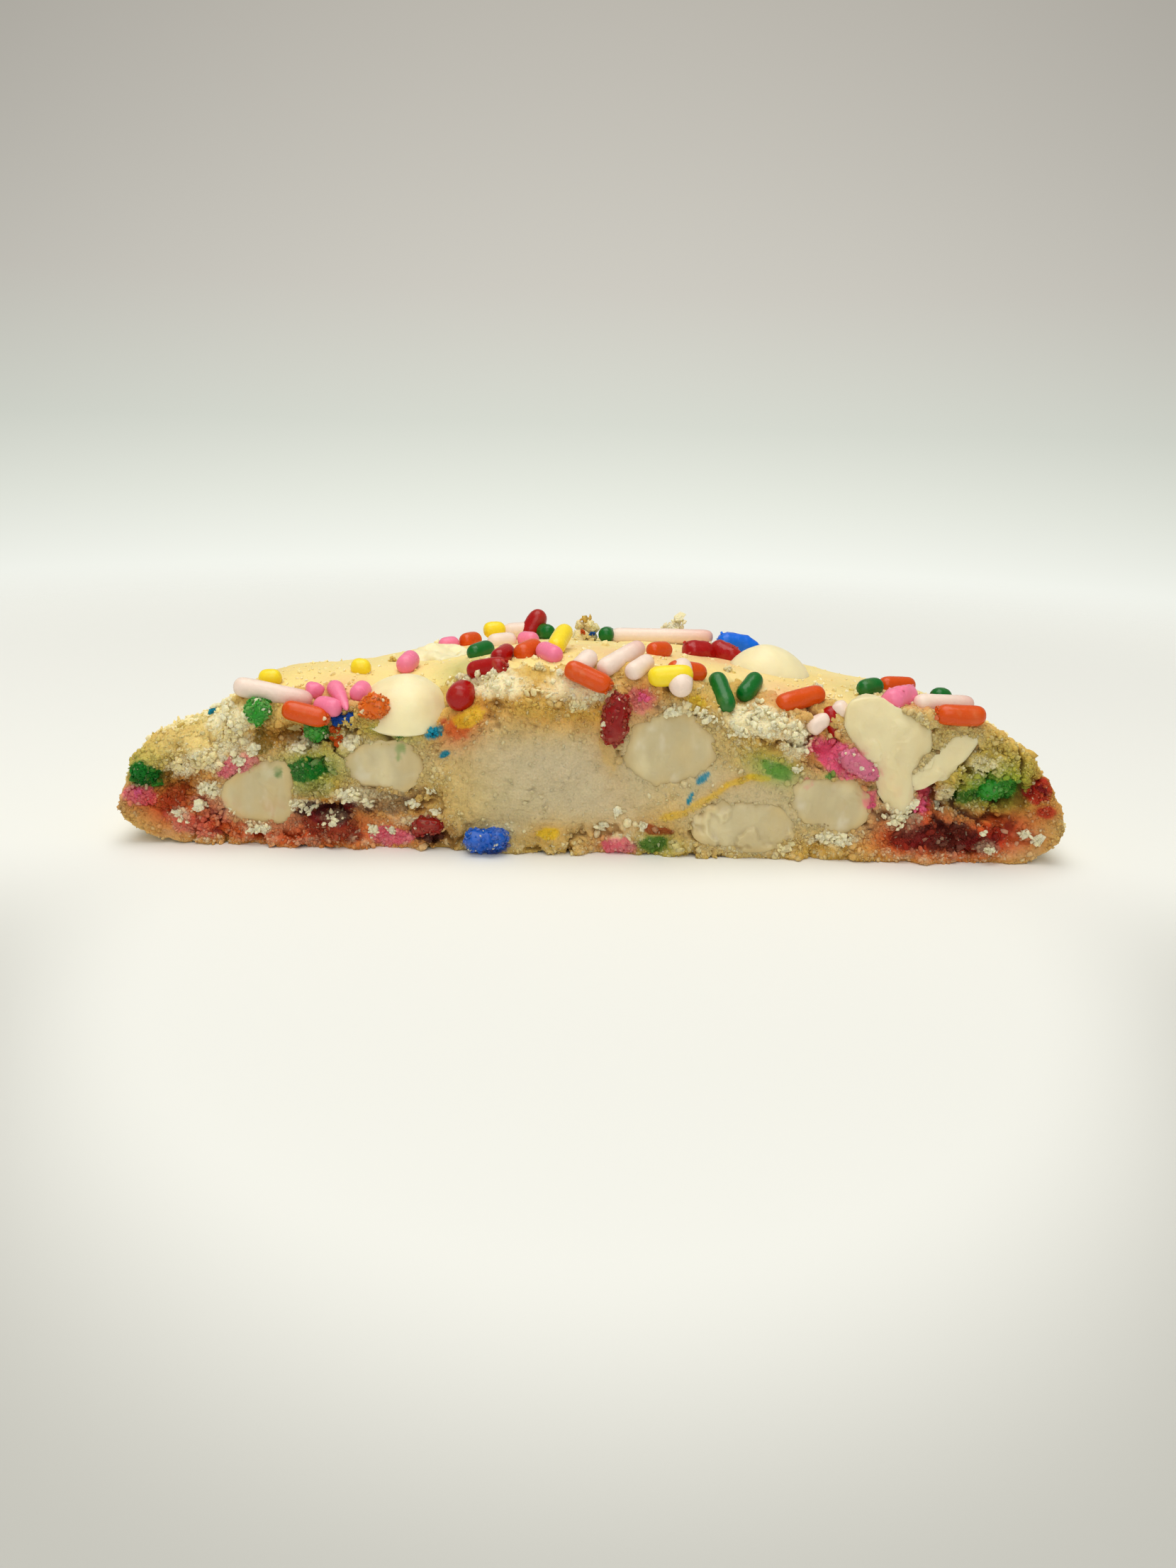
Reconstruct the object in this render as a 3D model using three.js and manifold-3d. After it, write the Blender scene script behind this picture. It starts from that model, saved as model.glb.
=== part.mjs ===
// Half of a thick sprinkle cookie, broken across the middle, with white chocolate chips.
// Millimetres, +Z up. The broken face looks along -Y and the flat base lies on Z = 0.
// The half is first laid out with the middle of the whole cookie at X = Y = 0, so that the
// break lies in the plane Y = 0, and is then moved as one so that its box is centred.

import * as THREE from 'three';
import { mergeVertices } from 'three/addons/utils/BufferGeometryUtils.js';
import Module from 'manifold-3d';

const wasm = await Module();
wasm.setup();

// ---- driving dimensions ----

const RADIUS = 45;            // the whole cookie is 90 across
const SIDE_HEIGHT = 3.8;      // height at which the rounded side is widest
const PLATEAU = 16.05;        // height of the broad top
const HUMP = 2.6;             // what the middle rises above it
const FLAT_REACH = 0.9;       // the share of the radius over which the base is flat
const JIMMY_WIDTH = 1.9;      // a sprinkle's thickness
const JIMMY_LIFT = 0.45;      // how far its middle lies above the crust
const CHIP_GAP = 0.3;         // air between a chip and its pocket
const HALF_CENTRE = new THREE.Vector3(0.13, 21.45, 0);   // middle of the half's footprint

const COLOURS = { dough: 0xe9d7a8, chip: 0xf3ecd6 };

// ---- the dome: its outline from above and its two skins ----

const bell = (d, width) => Math.exp(-((d / width) ** 2));
const clamp = THREE.MathUtils.clamp;

// The outline is nearly round, with three slow and five quicker swells, and fuller at the left.
function outlineRadius(angle) {
  return RADIUS + 0.4 * Math.sin(3 * angle + 1.0) + 0.3 * Math.sin(5 * angle + 2.2)
    - 0.45 * Math.cos(angle);
}

// How far out a point lies: 0 in the middle, 1 on the outline.
function reach(x, y) {
  return Math.min(Math.hypot(x, y) / outlineRadius(Math.atan2(y, x)), 1);
}

// The depth of the half behind the break at a given x, found by walking onto the outline.
function depthAt(x) {
  let y = Math.sqrt(Math.max(RADIUS ** 2 - x ** 2, 0));
  for (let step = 0; step < 8; step += 1) {
    y = Math.sqrt(Math.max(outlineRadius(Math.atan2(y, x)) ** 2 - x ** 2, 0));
  }
  return y;
}

// Height of the broad top: a hump in the middle, a swell and two shallow dips.
function crownHeight(x, y) {
  const hump = HUMP * Math.exp(-(((x / 15) ** 2 + (y / 19) ** 2) ** 1.3));
  const swell = 0.5 * bell(x + 33, 7) * bell(y - 10, 8);
  const dips = 1.2 * bell(x + 24, 9) * bell(y - 22, 9) + 0.7 * bell(x - 26, 9) * bell(y - 20, 9);
  return PLATEAU + hump + swell - dips;
}

// The crust has crumbled away along the upper edge of the break, deepest beside the chips.
function crumbledEdge(x) {
  return 0.5 + 3.6 * bell(x + 15.5, 5) + 2.6 * bell(x + 26.5, 4)
    + 2.6 * bell(x - 13.5, 3.5) + 2.0 * bell(x - 21.5, 4.5);
}

// The left end falls in a straighter line: lower over its shoulder and fuller at its rim.
function leftSlope(x, back) {
  return (0.9 * bell(x + 42.6, 1.8) - 1.5 * bell(x + 37.2, 3.6)) * bell(back, 26);
}

function topHeight(x, y) {
  const q = reach(x, y);
  const dome = (crownHeight(x, y) - SIDE_HEIGHT) * (1 - q ** 7) ** 0.72;
  const back = Math.max(y, 0);
  const rounded = 1.3 * bell(x + 3, 9) * bell(back, 1.5);   // over the soft middle of the break
  const nest = 1.5 * Math.exp(-(((x + 17.6) / 4.6) ** 4)) * bell(back - 3, 4);   // round a chip
  return SIDE_HEIGHT + dome - rounded - nest + leftSlope(x, back) * (1 - q ** 30)
    - crumbledEdge(x) * bell(back, 3.6) * (1 - q ** 12);
}

// The base is flat, turns up into the side near the outline, and curls a little at the left end.
function baseHeight(x, y) {
  const turn = clamp((reach(x, y) - FLAT_REACH) / (1 - FLAT_REACH), 0, 1);
  const left = (1 - turn ** 2) ** 0.6;
  const curl = 0.9 * clamp((-x - 33) / 11, 0, 1) ** 2;
  return SIDE_HEIGHT * (1 - left) + curl * left;
}

// ---- the broken face: how far it lies behind (+) or stands proud of (-) its plane ----

// Hollows and swells in the break: middle, half-width, half-height and depth.
const BREAK_FORMS = [
  { x: -27.0, z: 10.9, width: 4.2, height: 1.3, depth: 2.6 },    // under the left top edge
  { x: -25.5, z: 3.9, width: 4.6, height: 1.1, depth: 2.0 },     // crevice above the base
  { x: 31.0, z: 6.6, width: 3.2, height: 1.8, depth: 1.6 },      // beside the torn chip
  { x: 36.8, z: 6.6, width: 3.2, height: 1.7, depth: 1.3 },      // right crevice
  { x: 22.8, z: 12.6, width: 1.8, height: 1.8, depth: 1.5 },     // between the right chips
  { x: -42.0, z: 5.8, width: 2.2, height: 0.9, depth: 0.8 },     // left rim
  { x: -5.0, z: 7.3, width: 8.5, height: 6.5, depth: -0.7 },     // soft middle
  { x: 14.7, z: 3.0, width: 6.5, height: 2.4, depth: -0.4 },     // over the low chip
];

function breakDepth(x, z) {
  const crags = 0.26 * Math.sin(0.9 * x + 0.7 * z) + 0.22 * Math.sin(2.1 * x - 1.3 * z + 1.0)
    + 0.18 * Math.sin(1.7 * z + 3.1 * Math.sin(0.5 * x)) + 0.3 * Math.sin(0.33 * x + 0.8);
  const forms = BREAK_FORMS.map((f) => f.depth * bell(x - f.x, f.width) * bell(z - f.z, f.height));
  return forms.reduce((sum, depth) => sum + depth, crags);
}

function indexed(points, faces) {
  const geometry = new THREE.BufferGeometry();
  geometry.setAttribute('position', new THREE.Float32BufferAttribute(points.flat(), 3));
  geometry.setIndex(faces.flat());
  return geometry;
}

// ---- the dough: one loop round the half at each x, swept from the left end to the right ----

const STATIONS = 60;
const FRONT_STEPS = 9;
const TOP_SHARES = [0, 0.035, 0.085, 0.16, 0.27, 0.4, 0.54, 0.68, 0.8, 0.885, 0.945, 0.982, 1];
const BASE_REACHES = [0.995, 0.98, 0.95, 0.88, 0.5];   // shares of the depth, back to front

function sweptHalf() {
  const endRight = outlineRadius(0);
  const endLeft = outlineRadius(Math.PI);
  const middle = (endRight - endLeft) / 2;
  const halfWidth = (endRight + endLeft) / 2;
  const points = [];
  for (let station = 1; station < STATIONS; station += 1) {
    const x = middle - halfWidth * Math.cos((Math.PI * station) / STATIONS);
    const back = depthAt(x);
    const low = baseHeight(x, 0);
    const high = topHeight(x, 0);
    for (let i = 0; i < FRONT_STEPS; i += 1) {
      const z = THREE.MathUtils.lerp(low, high, i / FRONT_STEPS);
      points.push([x, Math.min(breakDepth(x, z), back * 0.3), z]);
    }
    const lip = Math.min(breakDepth(x, high), back * 0.3);
    for (const share of TOP_SHARES) {
      const y = THREE.MathUtils.lerp(lip, back, share);
      points.push([x, y, share < 1 ? topHeight(x, y) : SIDE_HEIGHT]);
    }
    for (const share of BASE_REACHES) {
      points.push([x, back * share, baseHeight(x, back * share)]);
    }
  }
  const loop = FRONT_STEPS + TOP_SHARES.length + BASE_REACHES.length;
  const faces = [];
  for (let s = 0; s < STATIONS - 2; s += 1) {
    for (let i = 0; i < loop; i += 1) {
      const next = (i + 1) % loop;
      const [a, b, c, d] = [s * loop + i, s * loop + next, (s + 1) * loop + next, (s + 1) * loop + i];
      faces.push([a, c, b], [a, d, c]);
    }
  }
  const leftTip = points.push([-endLeft, 0, SIDE_HEIGHT]) - 1;
  const rightTip = points.push([endRight, 0, SIDE_HEIGHT]) - 1;
  const last = (STATIONS - 2) * loop;
  for (let i = 0; i < loop; i += 1) {
    const next = (i + 1) % loop;
    faces.push([leftTip, i, next], [rightTip, last + next, last + i]);
  }
  return indexed(points, faces);
}

// ---- sprinkles: short rods with rounded ends ----

// Placed by hand on the top: x, y, heading, length, pitch (its front end dips when over 0) and how
// far its middle lies above the crust, where that isn't JIMMY_LIFT.
const TOP_JIMMIES = [
  [-26.8, -0.2, -4, 4.6, 9, 0.4], [-30.1, 1.5, 8, 7.4, 0], [-24.8, 0.6, -31, 3.0, 12],
  [-23.8, 1.5, -63, 4.9, 2], [-26.5, 2.9, 11, 1.8, 0], [-22.0, 2.1, 76, 2.4, 0, 0.75],
  [-31.0, 4.0, -1, 2.2, 0], [-22.8, 6.6, -7, 2.0, 0], [-18.4, 8.0, 76, 2.9, -3, 0.7],
  [-16.2, 23.2, 31, 2.4, 0], [-14.0, 25.0, 59, 3.0, 0], [-11.4, 9.9, 57, 3.4, -4],
  [-8.8, 5.0, 69, 3.2, 0], [-6.4, 5.5, 56, 3.4, -4], [-10.1, 2.7, -19, 4.3, 2],
  [-12.4, 1.3, 86, 3.4, 0], [-10.1, 20.8, 28, 3.3, 0], [-8.7, 28.0, -10, 3.8, -4, 1.0],
  [-11.5, 27.5, 20, 2.6, 0, 1.25], [-5.7, 27.0, -66, 3.3, 0, 0.9], [-7.0, 28.0, 20, 4.4, -60, 1.9],
  [-3.4, 6.8, 76, 4.6, -20, 1.15], [-4.3, 3.7, -58, 3.4, 0], [-7.3, 21.2, -40, 2.6, 0],
  [1.4, 27.0, 80, 3.2, 0, 0.66], [7.6, 27.0, 0, 11.8, -3, 0.75], [2.5, 2.4, 43, 5.8, -8],
  [4.2, 1.1, 49, 3.4, 0], [6.3, 7.7, 41, 2.9, -6], [-0.6, -0.2, -8, 4.8, 26, 0.41],
  [-0.9, 1.7, 53, 2.8, 0], [7.0, -0.1, 3, 4.2, -12, 0.3], [8.6, 1.6, 30, 4.2, 0],
  [8.0, 0.2, 85, 4.2, -30, 0.3], [10.9, 13.8, 25, 3.8, 0, 0.5], [13.6, 14.2, -40, 3.9, 8, 0.6],
  [16.2, 26.0, 0, 4.9, 0, 0.72], [12.0, 1.7, -73, 4.6, 0], [14.8, 3.2, 56, 3.6, 0],
  [19.5, 2.2, 24, 5.2, -9], [26.5, 4.5, 28, 2.8, -3], [29.7, 6.9, 21, 4.0, -4],
  [28.8, 2.1, 39, 4.3, -4], [33.4, 4.6, 28, 2.2, -6], [34.0, -0.2, 0, 4.9, -13, 0.3],
  [33.1, 2.3, 16, 6.3, -7], [23.2, 1.4, 60, 1.8, 0],
];

// Placed by hand in the broken face: x, z, lean from level and length.
const BREAK_JIMMIES = [
  [1.9, 13.6, 84, 4.8], [22.7, 13.3, -60, 3.2], [-9.9, 1.5, 8, 3.4], [-15.6, 2.3, 0, 3.0],
  [-26.1, 11.4, 30, 2.2], [38.4, 7.2, 20, 3.0], [25.0, 9.6, -35, 4.2], [21.1, 13.3, 40, 2.4],
  [-20.3, 14.0, -6, 2.6], [-31.2, 13.4, 20, 2.2],
];

// Round the outer shoulder: a sunflower spiral of sprinkles, thinned where others lie close, and
// kept to the shoulder's outer slope, below the line of sight from the break over the top.
const SHOULDER_JIMMIES = { count: 150, inner: 37, outer: 43.4, sight: 23.6, fall: 0.006, spacing: 3.9 };
const GOLDEN_ANGLE = Math.PI * (3 - Math.sqrt(5));

// A steady number from 0 to 1 for each seed.
function steadyNumber(seed) {
  const wave = Math.sin(seed * 12.9898 + 4.1414) * 43758.5453;
  return wave - Math.floor(wave);
}

function shoulderJimmies() {
  const { count, inner, outer, sight, fall, spacing } = SHOULDER_JIMMIES;
  const found = [];
  for (let n = 0; n < count; n += 1) {
    const radius = Math.sqrt(inner ** 2 + ((outer ** 2 - inner ** 2) * (n + 0.5)) / count);
    const x = radius * Math.cos(n * GOLDEN_ANGLE);
    const y = radius * Math.sin(n * GOLDEN_ANGLE);
    const crowded = [...TOP_JIMMIES, ...found].some((j) => Math.hypot(x - j[0], y - j[1]) < spacing);
    const onChip = DROP_CHIPS.some((c) => Math.hypot(x - c.at[0], y - c.at[1]) < c.radius + 1.6);
    const high = topHeight(x, y) + 0.3 * y > sight - fall * x ** 2;
    if (y > 12 && x > -34 && !crowded && !onChip && !high) {
      found.push([x, y, 360 * steadyNumber(n), 3 + 2.4 * steadyNumber(n + 500), 0]);
    }
  }
  return found;
}

// A rod along +X: six sides and two blunt points.
function rodGeometry(length) {
  const r = JIMMY_WIDTH / 2;
  const half = length / 2;
  const shoulder = half - 0.6 * r;
  const profile = [[0, -half], [r, -shoulder], [r, shoulder], [0, half]];
  return new THREE.LatheGeometry(profile.map(([x, y]) => new THREE.Vector2(x, y)), 6)
    .rotateZ(-Math.PI / 2);
}

function topJimmy([x, y, heading, length, pitch, lift = JIMMY_LIFT]) {
  const turn = THREE.MathUtils.degToRad(heading);
  const along = [Math.cos(turn), Math.sin(turn)];
  const step = 1;
  const rise = topHeight(x + step * along[0], y + step * along[1])
    - topHeight(x - step * along[0], y - step * along[1]);
  const slope = Math.atan2(rise, 2 * step) - THREE.MathUtils.degToRad(pitch);
  return rodGeometry(length)
    .rotateY(-slope)
    .rotateZ(turn)
    .translate(x, y, topHeight(x, y) + lift);
}

function breakJimmy([x, z, lean, length]) {
  return rodGeometry(length)
    .rotateY(-THREE.MathUtils.degToRad(lean))
    .translate(x, breakDepth(x, z) - 0.1, z);
}

// ---- chips in the break: flat cuts through drops, or torn lumps, with uneven outlines ----

// at is the middle of the outline in the break, radii are measured from it every 45 degrees,
// counter-clockwise from +X, front is the depth of the flat front and bulge is how far it swells.
const BREAK_CHIPS = [
  { name: 'chip_cut_far_left', at: [-31.8, 5.3], radii: [3.4, 4.1, 2.8, 2.5, 3.4, 3.2, 2.9, 3.9],
    front: 0, bulge: 0.1, depth: 4.5 },
  { name: 'chip_cut_left', at: [-19.6, 8.3], radii: [3.8, 3.2, 2.2, 2.7, 3.8, 2.9, 2.2, 3.2],
    front: 0, bulge: 0.1, depth: 4.5 },
  { name: 'chip_cut_centre', at: [7.3, 10.5], radii: [4.5, 3.9, 3.7, 4.0, 4.4, 4.3, 3.6, 3.7],
    front: 0, bulge: 0.2, depth: 5 },
  { name: 'chip_cut_low', at: [14.5, 3.2], radii: [5.2, 3.3, 2.5, 3.3, 5.0, 3.3, 2.4, 3.3],
    front: 0, bulge: 0.4, depth: 4.5 },
  { name: 'chip_cut_right', at: [22.5, 5.4], radii: [4.0, 3.4, 2.6, 3.6, 3.9, 2.5, 2.5, 3.7],
    front: 0, bulge: 0.1, depth: 4.5 },
  { name: 'chip_cut_slab', at: [33.5, 9.7], radii: [2.3, 3.7, 1.8, 1.3, 1.9, 3.5, 1.8, 1.4],
    front: -0.1, bulge: 0.3, depth: 2.4 },
  { name: 'chip_edge_right', at: [27.4, 11.7], radii: [4.5, 3.6, 4.1, 5.0, 3.6, 2.2, 5.2, 3.3],
    front: -0.1, bulge: 0.7, depth: 6 },
];
const CHIP_SIDES = 16;
const POCKET_MOUTH = 2;

// A smooth closed outline: Catmull-Rom curves between the radii.
function radiusAt(radii, angle) {
  const place = ((angle / (2 * Math.PI)) * radii.length + radii.length) % radii.length;
  const i = Math.floor(place);
  const t = place - i;
  const [a, b, c, d] = [-1, 0, 1, 2].map((k) => radii[(i + k + radii.length) % radii.length]);
  return b + 0.5 * t * (c - a + t * (2 * a - 5 * b + 4 * c - d + t * (3 * (b - c) + d - a)));
}

// Rings of points from the middle of the front over the edge to the middle of the back. A pocket
// is the chip grown by the gap, with its front pushed out so that it opens in the break.
function breakChipGeometry({ at, radii, front, bulge, depth }, grow) {
  const face = grow > 0 ? front - POCKET_MOUTH : front;
  const rings = [
    [0.5, face - 0.75 * bulge], [1, face], [1, front + 0.25 * depth],
    [0.8, front + 0.65 * depth], [0.45, front + 0.93 * depth],
  ];
  const points = [[at[0], face - bulge, at[1]]];
  for (const [share, y] of rings) {
    for (let side = 0; side < CHIP_SIDES; side += 1) {
      const angle = (2 * Math.PI * side) / CHIP_SIDES;
      const radius = share * (radiusAt(radii, angle) + grow);
      points.push([at[0] + radius * Math.cos(angle), y, at[1] + radius * Math.sin(angle)]);
    }
  }
  const backPole = points.push([at[0], front + depth + grow, at[1]]) - 1;
  const faces = [];
  for (let side = 0; side < CHIP_SIDES; side += 1) {
    const next = (side + 1) % CHIP_SIDES;
    const lastRing = 1 + (rings.length - 1) * CHIP_SIDES;
    faces.push([0, 1 + side, 1 + next], [backPole, lastRing + next, lastRing + side]);
    for (let ring = 0; ring < rings.length - 1; ring += 1) {
      const near = 1 + ring * CHIP_SIDES;
      const far = near + CHIP_SIDES;
      faces.push([near + side, far + side, far + next], [near + side, far + next, near + next]);
    }
  }
  return indexed(points, faces);
}

// ---- whole chips: low drops with a round flat foot, a full shoulder and a small peak ----

// at is the middle of the drop and tip is the way its peak points.
const DROP_CHIPS = [
  { name: 'chip_top_left', at: [-18.1, 3.2, 14.15], radius: 4.4, height: 4.5, tip: [0.05, -0.22, 0.97] },
  { name: 'chip_top_left_back', at: [-15.9, 14.0, 15.1], radius: 4.2, height: 5.6, tip: [0.1, -0.1, 0.99] },
  { name: 'chip_top_right', at: [16.9, 10.2, 15.6], radius: 4.9, height: 6.6, tip: [-0.1, -0.2, 0.95] },
  { name: 'chip_back_left', at: [-29.4, 29.4, 8.5], radius: 4.2, height: 6.0, tip: [-0.57, 0.57, 0.6] },
  { name: 'chip_back_middle', at: [-4.9, 39.7, 10.0], radius: 4.3, height: 6.0, tip: [-0.1, 0.79, 0.6] },
  { name: 'chip_back_right', at: [16.3, 36.5, 9.9], radius: 4.2, height: 6.0, tip: [0.32, 0.73, 0.6] },
  { name: 'chip_back_far_right', at: [34.6, 20.0, 9.9], radius: 4.2, height: 6.0, tip: [0.7, 0.4, 0.6] },
];
const DROP_SIDES = 11;
const DROP_RINGS = 5;

function dropChipGeometry({ at, radius, height, tip }, grow) {
  const profile = [new THREE.Vector2(0, -height / 2), new THREE.Vector2(0.84 * radius, -height / 2)];
  for (let ring = 0; ring <= DROP_RINGS; ring += 1) {
    const u = ring / DROP_RINGS;
    const width = radius * (1 - u ** 2.1) ** 0.62;
    profile.push(new THREE.Vector2(width, height * (0.12 + 0.88 * u) - height / 2));
  }
  const scale = (radius + grow) / radius;
  const turn = new THREE.Quaternion()
    .setFromUnitVectors(new THREE.Vector3(0, 1, 0), new THREE.Vector3(...tip).normalize());
  return new THREE.LatheGeometry(profile, DROP_SIDES)
    .scale(scale, (height + 2 * grow) / height, scale)
    .applyQuaternion(turn)
    .translate(...at);
}

function chipGeometry(chip, grow) {
  return chip.radii ? breakChipGeometry(chip, grow) : dropChipGeometry(chip, grow);
}

// ---- solids ----

// A closed geometry with its shared points merged and its faces without area dropped.
function toSolid(geometry) {
  const bare = geometry.clone();
  bare.deleteAttribute('normal');
  bare.deleteAttribute('uv');
  const merged = mergeVertices(bare, 1e-4);
  const corners = merged.index.array;
  const kept = [];
  for (let i = 0; i < corners.length; i += 3) {
    const [a, b, c] = [corners[i], corners[i + 1], corners[i + 2]];
    if (a !== b && b !== c && c !== a) {
      kept.push(a, b, c);
    }
  }
  return new wasm.Manifold(new wasm.Mesh({
    numProp: 3,
    vertProperties: new Float32Array(merged.attributes.position.array),
    triVerts: new Uint32Array(kept),
  }));
}

function toGeometry(solid) {
  const mesh = solid.getMesh();
  const geometry = new THREE.BufferGeometry();
  geometry.setAttribute('position', new THREE.Float32BufferAttribute(mesh.vertProperties, 3));
  geometry.setIndex(new THREE.BufferAttribute(mesh.triVerts, 1));
  return geometry;
}

// The largest body of a solid, without the scraps that a cut leaves loose.
function largestBody(solid) {
  return solid.decompose().sort((a, b) => b.volume() - a.volume())[0];
}

const CHIPS = [...BREAK_CHIPS, ...DROP_CHIPS];
const SMOOTHING = 0.05;    // small faces that shape less than this are merged

function buildDough() {
  const jimmies = [
    ...[...TOP_JIMMIES, ...shoulderJimmies()].map(topJimmy),
    ...BREAK_JIMMIES.map(breakJimmy),
  ];
  const fused = wasm.Manifold.union([toSolid(sweptHalf()), ...jimmies.map(toSolid)]);
  const pockets = wasm.Manifold.union(CHIPS.map((chip) => toSolid(chipGeometry(chip, CHIP_GAP))));
  return largestBody(fused.subtract(pockets).simplify(SMOOTHING));
}

// ---- the group ----

const cookie = new THREE.Group();
cookie.position.copy(HALF_CENTRE).negate();

const dough = new THREE.Mesh(
  toGeometry(buildDough()),
  new THREE.MeshStandardMaterial({ color: COLOURS.dough, roughness: 0.7, metalness: 0 }),
);
dough.name = 'cookie';
cookie.add(dough);

const chipMaterial = new THREE.MeshStandardMaterial({ color: COLOURS.chip, roughness: 0.4, metalness: 0 });
for (const chip of CHIPS) {
  const mesh = new THREE.Mesh(toGeometry(toSolid(chipGeometry(chip, 0))), chipMaterial);
  mesh.name = chip.name;
  cookie.add(mesh);
}

const group = new THREE.Group();
group.add(cookie);
export default group;
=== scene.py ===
"""Half of a thick sprinkle cookie, broken across the middle, with white chocolate chips.

Lengths in the shape functions are millimetres, with the middle of the whole cookie at x = y = 0:
x runs along the break, y away from it into the cookie and z up from the flat base. The pieces are
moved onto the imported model's frame, and into metres, when their meshes are made.
"""
import math

import bpy
import numpy as np
from mathutils import Matrix, Vector


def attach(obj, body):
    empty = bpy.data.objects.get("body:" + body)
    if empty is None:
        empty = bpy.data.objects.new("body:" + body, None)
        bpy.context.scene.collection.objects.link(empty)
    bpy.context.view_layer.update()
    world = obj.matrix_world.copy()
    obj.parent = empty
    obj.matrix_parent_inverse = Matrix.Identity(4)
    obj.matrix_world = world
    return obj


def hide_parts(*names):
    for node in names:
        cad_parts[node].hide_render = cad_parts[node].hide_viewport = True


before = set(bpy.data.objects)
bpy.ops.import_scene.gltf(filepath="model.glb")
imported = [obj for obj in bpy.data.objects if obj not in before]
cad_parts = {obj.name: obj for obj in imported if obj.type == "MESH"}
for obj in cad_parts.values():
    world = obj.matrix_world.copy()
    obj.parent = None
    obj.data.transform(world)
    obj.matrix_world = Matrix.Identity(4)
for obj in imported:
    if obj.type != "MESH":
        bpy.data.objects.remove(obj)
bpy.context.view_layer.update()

bl_info = {
    "name": "Sprinkle Cookie Half",
    "version": (1, 0, 0),
    "blender": (4, 5, 0),
    "location": "View3D > Sidebar > Cookie",
    "description": "Builds half of a thick sprinkle cookie with white chocolate chips",
    "category": "Add Mesh",
}

# ---- sizes shared with the solids ----

MM = 0.001
RADIUS = 45.0
SIDE_HEIGHT = 3.8
PLATEAU = 16.05
HUMP = 2.6
FLAT_REACH = 0.9
HALF_CENTRE = np.array([0.13, 21.45, 0.0])


def tone(red, green, blue):
    """An 8-bit display colour as the linear colour that materials use."""
    share = np.array([red, green, blue]) / 255.0
    low = share / 12.92
    high = ((share + 0.055) / 1.055) ** 2.4
    return tuple(float(v) for v in np.where(share <= 0.04045, low, high))


DYES = {
    "red": tone(122, 8, 6), "maroon": tone(68, 8, 6), "orange": tone(206, 78, 8),
    "rust": tone(168, 64, 12), "yellow": tone(232, 190, 36), "olive": tone(124, 100, 18),
    "green": tone(2, 112, 24), "leaf": tone(58, 140, 40), "pale_green": tone(150, 160, 86),
    "blue": tone(4, 68, 158), "cyan": tone(4, 138, 166), "pink": tone(250, 102, 140),
    # Below, the greyish colour is painted shade, laid under a chip and in a dark band of the break.
    "rose": tone(222, 128, 120), "cream": tone(250, 228, 168), "grey_shade": tone(112, 98, 88),
    "ochre": tone(172, 118, 40), "scarlet": tone(186, 18, 16), "gold": tone(222, 180, 86),
}

# ---- layout: sprinkles, chips, dye marks and flakes ----

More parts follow.
